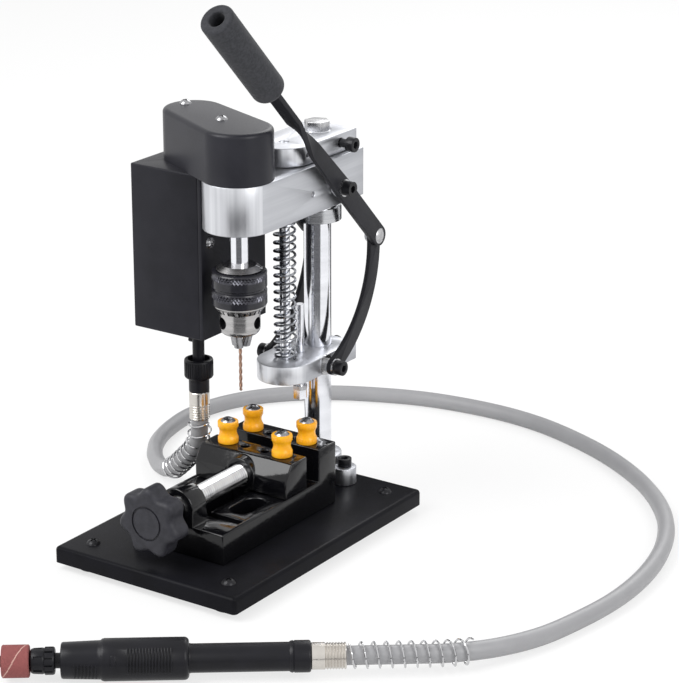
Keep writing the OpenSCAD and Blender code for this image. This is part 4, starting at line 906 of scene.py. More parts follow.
@dataclass
class Handpiece:
    """The handpiece on the flexible shaft: rear tube, ribbed grip, collet nut and sanding drum.

    Places run along its axis from the rear ring. A side's angle is 0 towards the right, positive downward.
    The pairs of ring, rear, grip, nose, collet and drum give where each ends and its radius.
    """

    tail: Point = (130.93, -119.71, 11.0)
    turn: float = HAND_TURN
    ring: tuple[float, float] = (11.0, 8.3)
    ring_round: float = 1.2
    rear: tuple[float, float] = (62.0, 7.5)
    grip: tuple[float, float] = (107.0, 11.0)
    grip_round: float = 2.5
    skin_r: float = 7.0
    nose: tuple[float, float] = (127.0, 9.4)
    panel_from: float = 70.4
    panel_pitch: float = 1.58
    panel_ribs: int = 15
    panel_side: float = -20.0
    panel_spread: float = 34.0
    scoop_from: float = 108.6
    scoop_pitch: float = 1.8
    scoop_ribs: int = 7
    scoop_side: float = 14.0
    scoop_spread: float = 26.0
    rib_rise: float = 0.8
    rib_edge: float = 0.16
    seam_at: tuple[float, float] = (151.0, -22.0)
    seam_slant: float = 12.0
    seam_half: float = 4.0
    bump_at: tuple[float, float] = (99.0, 101.4)
    bump_spread: float = 14.0
    bump_rise: float = 0.9
    collet: tuple[float, float] = (143.0, 7.2)
    collet_gap: float = 0.3
    collet_neck: float = 2.7
    collet_steps: int = 48
    slot_len: float = 5.0
    slot_depth: float = 0.9
    flat_from: float = 6.4
    flat_depth: float = 0.6
    spindle_len: float = 23.0
    neck: float = 4.0
    arbor: float = 3.0
    drum: tuple[float, float] = (157.0, 8.45)
    drum_rows: int = 28
    drum_dish: tuple[float, float] = (0.8, 1.2)
    drum_screw: tuple[float, float] = (1.4, 3.0)
    steps: int = 72

    def build(self) -> None:
        """Models every piece of the handpiece."""
        lie = Matrix.Translation(self.tail) @ turned(self.turn, "Z") @ turned(90.0, "Y")
        for piece, body, finish, node in (
            (self.tube(), "frame", PLASTIC_BLACK, "handpiece_rear"),
            (self.shell(), "frame", PLASTIC_BLACK, "handpiece_grip"),
            (self.collet_nut(), "drum", PLASTIC_BLACK, "collet_spindle"),
            (self.sleeve(), "drum", GRIT, "sanding_drum"),
        ):
            Bench.hand_over(Bench.place(piece, lie), body, finish, node)

    def tube(self) -> bpy.types.Object:
        """Models the rear tube with its rounded ring.

        Returns:
            The tube along the Z axis.
        """
        (ring_end, ring_r), (end, r) = self.ring, self.rear
        bend = self.ring_round
        profile = [(0.0, 0.0)] + arc(bend, -90.0, 0.0, 4, ring_r - bend, bend)
        profile += [(ring_r, ring_end - 2.6), (ring_r - 0.3, ring_end - 2.3), (ring_r - 0.3, ring_end - 2.0)]
        profile += [(ring_r, ring_end - 1.7), (ring_r - 0.2, ring_end - 0.7), (r + 0.2, ring_end)]
        profile += [(r, ring_end), (r, end - 1.0), (r + 0.3, end), (0.0, end)]
        obj = Bench.lathe("rear_tube", profile, self.steps)
        Bench.smooth(obj)
        return obj

    def shell(self) -> bpy.types.Object:
        """Models the grip with a panel of ribs and a bump on each side, and more ribs on the nose.

        Returns:
            The grip along the Z axis.
        """
        start = self.rear[0]
        (end, r), (nose_end, nose_r) = self.grip, self.nose
        rows = [self.panel_from + self.panel_pitch * i / 2 for i in range(2 * self.panel_ribs)]
        scoop = [self.scoop_from + self.scoop_pitch * i / 2 for i in range(2 * self.scoop_ribs)]
        taper = (nose_r - r + 1.0) / (nose_end - 1.0 - end)
        bend = self.grip_round
        profile = [(0.0, start)] + arc(bend, -90.0, 0.0, 5, r - bend, start + bend)
        profile += [(r, z) for z in (*rows, *self.bump_at)]
        profile += [(r, end - 2.0), (r - 0.3, end - 0.8), (r - 1.0, end)]
        profile += [(r - 1.0 + taper * (z - end), z) for z in scoop]
        profile += [(nose_r, nose_end - 1.0), (nose_r - 0.3, nose_end - 0.3), (nose_r - 1.0, nose_end)]
        profile += [(self.arbor + 0.05, nose_end), (self.arbor + 0.05, start + 1.0), (0.0, start + 1.0)]
        obj = Bench.lathe("handpiece_shell", profile, self.steps)
        with Bench.edit(obj):
            Bench.pick(obj, lambda m, n: self.on_rib(m, rows, self.panel_side, self.panel_spread))
            Bench.swell(self.rib_rise)
            Bench.pick(obj, lambda m, n: self.on_rib(m, scoop, self.scoop_side, self.scoop_spread))
            Bench.swell(self.rib_rise)
            Bench.pick(obj, lambda m, n: self.on_rib(m, self.bump_at, self.panel_side, self.bump_spread))
            Bench.swell(self.bump_rise)
        Bench.tidy(obj)
        Bench.bevel(obj, self.rib_edge, 2, 50.0)
        return obj

    def on_rib(self, middle: Vector, rows: Sequence[float], side: float, spread: float) -> bool:
        """Tells whether a face of the grip belongs to a rib, on either side.

        Args:
            middle: the face's middle.
            rows: places of the ribs' edges along the grip.
            side: angle of the ribs' middle, in degrees.
            spread: half of the angle that they span.

        Returns:
            Whether it does.
        """
        inside = [i for i in range(len(rows) - 1) if rows[i] < middle.z < rows[i + 1]]
        if not inside or inside[0] % 2 or middle.xy.length < self.skin_r:
            return False
        angle = side_of(middle)
        return min(apart(angle, side), apart(angle, side + 180.0)) < spread

    def collet_nut(self) -> bpy.types.Object:
        """Models the collet nut with its spindle, and the slots round its rear.

        Returns:
            The nut along the Z axis.
        """
        start = self.nose[0] + self.collet_gap
        end, r = self.collet
        shoulder, tail = start + self.collet_neck, start - self.spindle_len
        slot_end, flat = shoulder + self.slot_len, shoulder + self.flat_from
        obj = Bench.lathe("collet_nut", [
            (0.0, tail), (self.arbor, tail), (self.arbor, start), (self.neck, start),
            (self.neck, shoulder), (r - 1.0, shoulder), (r - 0.3, shoulder + 0.3), (r, shoulder + 1.0),
            (r, slot_end), (r - 0.7, slot_end + 0.4), (r - 0.4, flat), (r - 0.6, end - 2.2),
            (r - 1.0, end - 1.0), (r - 2.5, end), (0.0, end),
        ], self.collet_steps)
        with Bench.edit(obj):
            Bench.pick(obj, lambda m, n: m.xy.length > r - 0.2 and m.z < slot_end and abs(n.z) < 0.1
                       and sector(m, self.collet_steps) % 4 == 0)
            Bench.swell(-self.slot_depth)
            Bench.pick(obj, lambda m, n: m.xy.length > r - 1.0 and m.z > flat and abs(n.z) < 0.3
                       and sector(m, self.collet_steps) % 8 < 2)
            Bench.swell(-self.flat_depth)
        Bench.tidy(obj)
        Bench.smooth(obj)
        return obj

    def sleeve(self) -> bpy.types.Object:
        """Models the abrasive sleeve with its slanting seam and the screw in its end.

        Returns:
            The drum along the Z axis.
        """
        start = self.collet[0]
        end, r = self.drum
        head, head_r = self.drum_screw
        sink, wall = self.drum_dish
        rows = [start + 0.5 + (end - start - 1.0) * i / self.drum_rows for i in range(self.drum_rows + 1)]
        profile = [(0.0, start), (r - 0.5, start)] + [(r, z) for z in rows]
        profile += [(r - 0.5, end), (r - wall, end), (r - wall, end - sink), (head_r, end - sink),
                    (head_r, end + head - 0.3), (head_r - 0.3, end + head), (0.0, end + head)]
        obj = Bench.lathe("drum_sleeve", profile, 2 * self.steps)
        Bench.smooth(obj)
        Bench.dress(obj, GRIT, SEAM, PLASTIC_BLACK)
        Bench.paint(obj, 1, lambda m, n: m.xy.length > r - 0.3 and self.on_seam(m))
        Bench.paint(obj, 2, lambda m, n: m.xy.length < r - 0.9 and m.z > end - 2.0)
        return obj

    def on_seam(self, middle: Vector) -> bool:
        """Tells whether a face of the drum lies on its slanting seam.

        Args:
            middle: the face's middle.

        Returns:
            Whether it does.
        """
        angle = side_of(middle)
        seam = self.seam_at[1] + self.seam_slant * (middle.z - self.seam_at[0])
        return apart(angle, seam) < self.seam_half


@dataclass
class Base:
    """The folded base plate."""

    width: float = 125.0
    depth: float = 185.0
    low: float = 4.5
    top: float = 14.0
    sheet: float = 2.0
    bend: float = 2.4

    def build(self) -> None:
        """Models the plate as a sheet with a skirt and rounded bends."""
        x, y = self.width / 2, self.depth / 2
        plate = Bench.block("base_sheet", (-x, -y, self.low), (x, y, self.top))
        with Bench.edit(plate):
            Bench.pick(plate, lambda m, n: n.z < -0.9)
            bpy.ops.mesh.inset(thickness=self.sheet * MM)
            Bench.push(Vector((0, 0, self.top - self.low - self.sheet)))
            Bench.pick_edges(plate, lambda a, b: max(a.z, b.z) > self.top - 0.1
                             and max(abs(a.x + b.x) / 2 - x, abs(a.y + b.y) / 2 - y) > -0.1)
            bpy.ops.mesh.bevel(offset=self.bend * MM, segments=5, profile=0.5, affect="EDGES")
        Bench.tidy(plate)
        Bench.smooth(plate)
        Bench.hand_over(plate, "frame", POWDER_BLACK, "base_plate")


@dataclass
class Column:
    """The column's flange and arms, their screws and the return spring."""

    edge: float = 0.5
    screw_edge: float = 0.25
    spring_y: float = 43.4
    low: float = 97.7
    high: float = 187.0
    outside: float = 13.5
    wire: float = 1.5
    turns: int = 19
    close_gap: float = 0.6
    stroke: float = 28.0
    seat: float = 0.1
    bolt_z: float = 226.4

    def build(self) -> None:
        """Models the arms with broken edges, the screws and the spring."""
        for node in ("column_flange", "lower_arm", "top_plate"):
            piece = Bench.copy_of(node + "_piece", node)
            Bench.bevel(piece, self.edge, 2)
            two_way(piece)
            Bench.hand_over(piece, "frame", MACHINED, node)
        screws = Bench.copy_of("frame_bolts", "frame_screws")
        Bench.bevel(screws, self.screw_edge, 2)
        Bench.dress(screws, OXIDE_AND_SHADE_BLACK, PLATED)
        Bench.paint(screws, 1, lambda m, n: m.z > self.bolt_z)
        Bench.hand_over(screws, "frame", OXIDE_AND_SHADE_BLACK, "frame_screws")
        self.spring()

    def spring(self) -> None:
        """Winds the spring, with a close turn at each end."""
        radius = (self.outside - self.wire) / 2
        close = self.wire + self.close_gap
        low = self.low + self.seat + self.wire / 2
        high = self.high - self.seat - self.wire / 2
        pitch = (high - low - 2 * close) / (self.turns - 2)
        points: list[Vector] = []
        for i in range(COIL_STEPS * self.turns + 1):
            k = i / COIL_STEPS
            z = low + close * min(k, 1.0) + pitch * max(min(k, self.turns - 1.0) - 1.0, 0.0)
            z += close * max(k - self.turns + 1.0, 0.0)
            angle = math.tau * k
            points.append(Vector((radius * math.cos(angle), self.spring_y + radius * math.sin(angle), z)))
        spring = Bench.tube("return_coil", points, self.wire / 2, WIRE_SIDES)
        Bench.hand_over(spring, "frame", SPRING_WIRE, "return_spring")
        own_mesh(spring)


def two_way(piece: bpy.types.Object) -> None:
    """Dresses a machined block: brushed along its sides, and streaked down its round end.

    Args:
        piece: the block.
    """
    Bench.dress(piece, MACHINED, BRUSHED)
    Bench.paint(piece, 1, lambda m, n: n.y < -0.2 and abs(n.z) < 0.2)


@dataclass
class Head:
    """The sliding head: arm, motor box, pulley cover and the shaft's coupling nut."""

    top: float = 215.0
    edge: float = 0.5
    box_bend: float = 0.8
    box_front: float = -8.0
    box_z: tuple[float, float] = (118.7, 215.0)
    seam: tuple[float, float] = (-22.7, -22.2)
    seam_margin: float = 1.2
    seam_depth: float = 0.5
    motor: tuple[float, float] = MOTOR_AT
    cover_r: float = 20.0
    cover_end_r: float = 17.5
    cover_h: float = 29.5
    cover_wall: float = 2.0
    cover_round: float = 2.6
    nut_low: float = 75.0
    nut_mid: float = 83.0
    nut_top: float = 95.0
    nut_r: float = 8.5
    collar_r: float = 6.0
    nut_bore: float = 3.55
    nut_recess: float = 3.0
    nut_steps: int = 64
    flute_depth: float = 0.35

    def build(self) -> None:
        """Models every piece of the head."""
        arm = Bench.copy_of("arm_block", "head_arm")
        Bench.bevel(arm, self.edge, 2)
        two_way(arm)
        Bench.hand_over(arm, "head", MACHINED, "head_arm")
        Bench.hand_over(self.box(), "head", BOX_BLACK, "motor_box")
        Bench.hand_over(self.cover(), "head", COVER_BLACK, "pulley_cover")
        Bench.hand_over(self.nut(), "head", PLASTIC_BLACK, "coupling_nut")

    def box(self) -> bpy.types.Object:
        """Models the motor box with bent corners and the seam of its front panel.

        Returns:
            The box.
        """
        obj = Bench.copy_of("motor_case", "motor_box")
        Bench.bevel(obj, self.box_bend, 3)
        low, high = self.box_z[0] + self.seam_margin, self.box_z[1] - self.seam_margin
        cuts = [((x, 0.0, 0.0), (1, 0, 0)) for x in self.seam]
        cuts += [((0.0, 0.0, z), (0, 0, 1)) for z in (low, high)]
        with Bench.edit(obj):
            for spot, way in cuts:
                bpy.ops.mesh.select_all(action="SELECT")
                bpy.ops.mesh.bisect(plane_co=Vector(spot) * MM, plane_no=way)
            Bench.pick(obj, lambda m, n: n.y < -0.9 and m.y < self.box_front + 0.1 and low < m.z < high
                       and self.seam[0] < m.x < self.seam[1])
            Bench.push(Vector((0, self.seam_depth, 0)))
        Bench.tidy(obj)
        Bench.smooth(obj)
        return obj

    def cover(self) -> bpy.types.Object:
        """Models the pulley cover as a hollow moulding with a rounded top.

        Returns:
            The cover.
        """
        x, y = self.motor
        reach = math.hypot(x, y)
        turn = math.degrees(math.atan2(y, x))
        lean = math.degrees(math.acos((self.cover_r - self.cover_end_r) / reach))
        outline = arc(self.cover_r, turn + lean, turn + 360.0 - lean, 48)
        outline += arc(self.cover_end_r, turn - lean, turn + lean, 40, x, y)
        high = self.top + self.cover_h
        obj = Bench.prism("belt_cover", outline, Axis.Z, self.top, high)
        with Bench.edit(obj):
            Bench.pick_edges(obj, lambda a, b: min(a.z, b.z) > high - 0.1)
            bpy.ops.mesh.bevel(offset=self.cover_round * MM, segments=6, profile=0.5, affect="EDGES")
            Bench.pick(obj, lambda m, n: n.z < -0.9)
            bpy.ops.mesh.inset(thickness=self.cover_wall * MM)
            Bench.push(Vector((0, 0, self.cover_h - self.cover_wall)))
        Bench.tidy(obj)
        Bench.smooth(obj)
        return obj

    def nut(self) -> bpy.types.Object:
        """Models the coupling nut and its collar, with grip flutes round the nut.

        Returns:
            The nut in place.
        """
        low, mid, top, r = self.nut_low, self.nut_mid, self.nut_top, self.nut_r
        obj = Bench.lathe("coupling_grip", [
            (self.nut_bore, low), (self.collar_r - 0.5, low), (self.collar_r, low + 0.5),
            (self.collar_r, mid - 0.4), (r - 1.6, mid + 0.2), (r - 0.4, mid + 1.0), (r, mid + 1.8),
            (r, top - 1.0), (r - 0.3, top - 0.3), (r - 1.0, top), (r - 2.0, top),
            (r - 2.2, top - self.nut_recess), (self.nut_bore, top - self.nut_recess),
        ], self.nut_steps)
        with Bench.edit(obj):
            Bench.pick(obj, lambda m, n: m.xy.length > r - 0.1 and m.z < top - 1.0 and abs(n.z) < 0.1
                       and sector(m, self.nut_steps) % 2 == 0)
            Bench.swell(-self.flute_depth)
        Bench.tidy(obj)
        Bench.smooth(obj, 30.0)
        return Bench.place(obj, Matrix.Translation((*self.motor, 0.0)))


@dataclass
class Lever:
    """The hand lever with its twist and foam grip, the crank on the far side and the links."""

    pivot: Point = (0.0, 64.5, 198.8)
    tilt: float = 134.6
    x: float = 25.0
    thick: float = 3.0
    wide: float = 12.0
    shank: float = 9.0
    elbow: float = 53.0
    twist_from: float = 38.0
    twist_len: float = 28.0
    twist_steps: int = 14
    grip_from: float = 97.0
    grip_len: float = 67.0
    grip_r: float = 9.5
    hollow_r: float = 4.5
    hollow: float = 24.0
    root_round: float = 4.0
    end_round: float = 1.5
    lip_round: float = 1.0
    into_grip: float = 30.0
    edge: float = 0.35

    def build(self) -> None:
        """Models the bar, the grip, the crank and the links."""
        lie = Matrix.Translation(self.pivot) @ turned(self.tilt, "X")
        Bench.hand_over(Bench.place(self.bar(), lie), "lever", LEVER_BLACK, "lever_bar")
        Bench.hand_over(Bench.place(self.foam(), lie), "lever", FOAM, "lever_grip")
        for node, body in (("left_crank", "lever"), ("right_link", "links"), ("left_link", "links")):
            piece = Bench.copy_of(node + "_piece", node)
            Bench.bevel(piece, self.edge, 2)
            Bench.hand_over(piece, body, LEVER_BLACK, node)

    def bar(self) -> bpy.types.Object:
        """Models the flat bar from its round end, through the twist, into the grip.

        Returns:
            The bar along the Y axis.
        """
        half = self.wide / 2
        outline = arc(half, 90.0, 270.0, 16, -self.elbow, 0.0)
        outline += [(0.0, -half), (self.twist_from, -self.shank / 2), (self.twist_from, self.shank / 2),
                    (0.0, half)]
        obj = Bench.prism("lever_flat", outline, Axis.X, self.x - self.thick / 2, self.x + self.thick / 2)
        step = self.twist_len / self.twist_steps
        with Bench.edit(obj):
            Bench.pick(obj, lambda m, n: n.y > 0.9)
            for i in range(self.twist_steps):
                Bench.push(Vector((0, step, 0)))
                bpy.ops.transform.rotate(
                    value=-math.pi / 2 / self.twist_steps, orient_axis="Y",
                    center_override=Vector((self.x, self.twist_from + step * (i + 1), 0.0)) * MM)
            Bench.push(Vector((0, self.grip_from + self.into_grip - self.twist_from - self.twist_len, 0)))
        Bench.tidy(obj)
        Bench.bevel(obj, self.edge, 2, 40.0)
        return obj

    def foam(self) -> bpy.types.Object:
        """Models the foam grip with its soft ends and the hollow in its end.

        Returns:
            The grip along the Y axis.
        """
        r, length, hole = self.grip_r, self.grip_len, self.hollow_r
        root, end, lip = self.root_round, self.end_round, self.lip_round
        profile = [(0.0, 0.0)] + arc(root, -90.0, 0.0, 8, r - root, root)
        profile += [(r, length * share) for share in (0.25, 0.5, 0.75)]
        profile += arc(end, 0.0, 90.0, 5, r - end, length - end)
        profile += arc(lip, 90.0, 180.0, 4, hole + lip, length - lip)
        profile += [(hole, length - self.hollow), (0.0, length - self.hollow)]
        obj = Bench.lathe("foam_sleeve", profile, 64)
        Bench.smooth(obj, 50.0)
        turn = Matrix.Translation((self.x, self.grip_from, 0.0))
        return Bench.place(obj, turn @ turned(-90.0, "X"))


@dataclass
class Chuck:
    """The keyed chuck's body and sleeve, and the twist drill.

    The cone has its wide and narrow radius and its top. The drill's web has its share at the flutes, what is
    added at the lands, and the power of the curve between them.
    """

    low: float = 139.0
    rim: float = 143.3
    top: float = 163.0
    r: float = 15.5
    core: float = 9.8
    inner: float = 11.7
    cavity: float = 12.6
    gap: float = 0.3
    hold: float = 9.0
    nose: float = 125.5
    body_r: float = 11.5
    body_steps: int = 96
    nose_round: float = 4.0
    cone: tuple[float, float, float] = (13.0, 10.0, 166.0)
    spindle_r: float = 5.22
    spindle_low: float = 152.5
    drill_hole_r: float = 2.0
    jaw_r: float = 2.56
    jaw_tip: float = 118.0
    jaw_start: float = 3.0
    jaw_lean: float = 15.0
    jaw_turns: tuple[float, ...] = (50.0, 170.0, 290.0)
    jaw_bore: tuple[float, float] = (-5.0, 26.0)
    key_r: float = 3.5
    key_rise: float = 7.7
    key_turn: float = 76.5
    key_depth: float = 3.0
    teeth: int = 26
    tooth_steps: int = 6
    tooth: float = 2.4
    tooth_r: float = 12.6
    knurls: int = 96
    knurl_rows: int = 4
    knurl_depth: float = 0.5
    knurl_bands: Sequence[tuple[float, float]] = ((147.0, 151.2), (158.2, 162.0))
    groove: float = 152.8
    drill_r: float = 1.0
    drill_web: tuple[float, float, float] = (0.45, 0.55, 0.7)
    drill_tip: float = 91.0
    point: float = 0.6
    point_share: float = 0.12
    drill_top: float = 134.0
    flute_top: float = 119.0
    flute_steps: int = 72
    lead: float = 8.0

    def build(self) -> None:
        """Models the body, the knurled sleeve with its toothed rim, and the drill."""
        Bench.hand_over(self.body(), "spindle", STEEL, "chuck_body")
        sleeve = self.bands()
        Bench.dress(sleeve, SLEEVE_BLACK, KNURL_STEEL)
        Bench.paint(sleeve, 1, lambda m, n: self.in_knurl(m))
        Bench.join(sleeve, self.crown())
        Bench.hand_over(sleeve, "chuck_ring", SLEEVE_BLACK, "chuck_sleeve")
        Bench.hand_over(self.drill(), "spindle", GOLD, "drill_bit")

    def body(self) -> bpy.types.Object:
        """Models the body with its rounded nose and cone, and its bores and key holes, which are painted dark
        inside as painted shade.

        Returns:
            The body.
        """
        r, nose, bend, high = self.body_r, self.nose, self.nose_round, self.top + self.gap
        wide, narrow, end = self.cone
        profile = [(0.0, nose)] + arc(bend, -90.0, 0.0, 8, r - bend, nose + bend)
        profile += [(r, self.low - self.gap), (self.core, self.low - self.gap), (self.core, high)]
        profile += [(wide - 0.3, high), (wide, high + 0.3), (narrow, end - 0.3), (narrow - 0.4, end)]
        obj = Bench.lathe("chuck_barrel", profile + [(0.0, end)], self.body_steps)
        for hole, low, top in (
            (circle(self.spindle_r, 48), self.spindle_low, end + 1.0),
            (circle(self.drill_hole_r, 24), nose - 1.0, self.drill_top + 1.0),
        ):
            Bench.combine(obj, Bench.prism("bore", hole, Axis.Z, low, top))
        for turn in self.jaw_turns:
            lie = Matrix.Translation((0.0, 0.0, self.jaw_tip)) @ turned(turn, "Z")
            lie = lie @ Matrix.Translation((self.jaw_start, 0.0, 0.0)) @ turned(self.jaw_lean, "Y")
            bore = Bench.prism("bore", circle(self.jaw_r, 48), Axis.Z, *self.jaw_bore)
            Bench.combine(obj, Bench.place(bore, lie))
            key = Bench.prism("key", circle(self.key_r, 48, 0.0, nose + self.key_rise), Axis.X,
                              r - self.key_depth, r + 1.0)
            spin = turned(turn + self.key_turn, "Z")
            Bench.combine(obj, Bench.place(key, spin))
        Bench.tidy(obj)
        Bench.smooth(obj, 30.0)
        Bench.dress(obj, STEEL, OXIDE_AND_SHADE_BLACK)
        # Painted shade: the faces inside the bores and key holes take the dark finish.
        Bench.paint(obj, 1, lambda m, n: m.xy.length < r - 0.3
                    and nose + bend < m.z < self.low - 2 * self.gap)
        return obj

    def in_knurl(self, spot: Vector) -> bool:
        """Tells whether a point's height lies in one of the knurled stretches."""
        return any(low < spot.z < high for low, high in self.knurl_bands)

    def bands(self) -> bpy.types.Object:
        """Models the sleeve's two bands, each knurled in its upper half.

        Returns:
            The sleeve above its rim.
        """
        r, top, groove, hold = self.r, self.top, self.groove, self.core + 0.1
        rows = [[a + (b - a) * i / self.knurl_rows for i in range(self.knurl_rows + 1)]
                for a, b in self.knurl_bands]
        profile = [(self.cavity, self.rim), (r - 0.4, self.rim), (r, self.rim + 0.5)]
        profile += [(r, z) for z in rows[0]]
        profile += [(r - 0.3, groove - 1.0), (r - 0.9, groove - 0.5), (r - 0.9, groove + 0.4)]
        profile += [(r, z) for z in (groove + 1.1, *rows[1])]
        profile += [(r - 0.4, top - 0.5), (r - 1.2, top), (hold, top), (hold, top - self.hold)]
        profile.append((self.cavity, top - self.hold - 0.5))
        obj = Bench.lathe("sleeve_bands", profile, self.knurls)
        heights = {round(z, 3): i for band in rows for i, z in enumerate(band)}

        def valley(spot: Vector) -> bool:
            """Tells whether a point lies between two knurls."""
            row = heights.get(round(spot.z, 3), 0)
            step = round(around(spot) * self.knurls / 360.0)
            return spot.xy.length > r - 0.1 and row % self.knurl_rows > 0 and (row + step) % 2 == 0

        with Bench.edit(obj):
            Bench.pick_points(obj, valley)
            bpy.ops.transform.shrink_fatten(value=-self.knurl_depth * MM)
            Bench.pick(obj, lambda m, n: m.xy.length > r - 0.6 and self.in_knurl(m))
            bpy.ops.mesh.quads_convert_to_tris(quad_method="SHORTEST_DIAGONAL")
        Bench.smooth(obj, 12.0)
        return obj

    def crown(self) -> bpy.types.Object:
        """Models the bright cone below the bands, with notches between its teeth whose faces are painted dark
        as painted shade.

        Returns:
            The cone.
        """
        count = self.tooth_steps * self.teeth
        r, rim, low, foot = self.r - 0.4, self.rim - 0.02, self.low, self.tooth_r
        obj = Bench.lathe("sleeve_crown", [
            (self.cavity, rim), (r, rim), (r - 0.2, rim - 0.8), (0.45 * r + 0.55 * foot, low + self.tooth),
            (foot, low + 0.4), (foot - 0.3, low), (self.inner, low), (self.inner, low + self.tooth),
        ], count)
        with Bench.edit(obj):
            Bench.pick_points(obj, lambda p: p.z < low + 0.5 and p.xy.length > foot - 0.4
                              and round(around(p) * count / 360.0) % self.tooth_steps == 0)
            bpy.ops.transform.translate(value=(0, 0, (self.tooth - 0.5) * MM))
        Bench.tidy(obj)
        Bench.smooth(obj, 15.0)
        Bench.dress(obj, STEEL, OXIDE_AND_SHADE_BLACK)
        # Painted shade: the faces inside each notch take the dark finish in place of the shade that falls
        # there.
        for one in obj.data.polygons:
            spots = [obj.data.vertices[i].co / MM for i in one.vertices]
            notch_shaded = any(p.xy.length < foot + 0.1 and p.z > low + 1.0 for p in spots)
            if notch_shaded and all(p.z < low + self.tooth + 0.1 for p in spots):
                one.material_index = 1
        return obj

    def drill(self) -> bpy.types.Object:
        """Models the twist drill: a fluted section pushed up and turned step by step, its shank and point.

        Returns:
            The drill.
        """
        web, land, power = self.drill_web
        tip = self.drill_tip + self.point
        outline = []
        for u, v in circle(1.0, 24):
            reach = self.drill_r * (web + land * abs(u) ** power)
            outline.append(Vector((reach * u, reach * v, tip)))
        obj = Bench.ring("twist_drill", outline, True)
        rise = (self.flute_top - tip) / self.flute_steps
        with Bench.edit(obj):
            bpy.ops.mesh.select_all(action="SELECT")
            for i in range(self.flute_steps):
                Bench.push(Vector((0, 0, rise)))
                bpy.ops.transform.rotate(value=math.tau * rise / self.lead, orient_axis="Z",
                                         center_override=(0, 0, (tip + rise * (i + 1)) * MM))
            Bench.push(Vector((0, 0, self.drill_top - self.flute_top)))
            Bench.pick(obj, lambda m, n: m.z < tip + 0.01)
            Bench.push(Vector((0, 0, self.drill_tip - tip)))
            bpy.ops.transform.resize(value=(self.point_share, self.point_share, 1.0),
                                     center_override=(0, 0, self.drill_tip * MM))
        Bench.tidy(obj)
        Bench.smooth(obj, 40.0)
        return obj


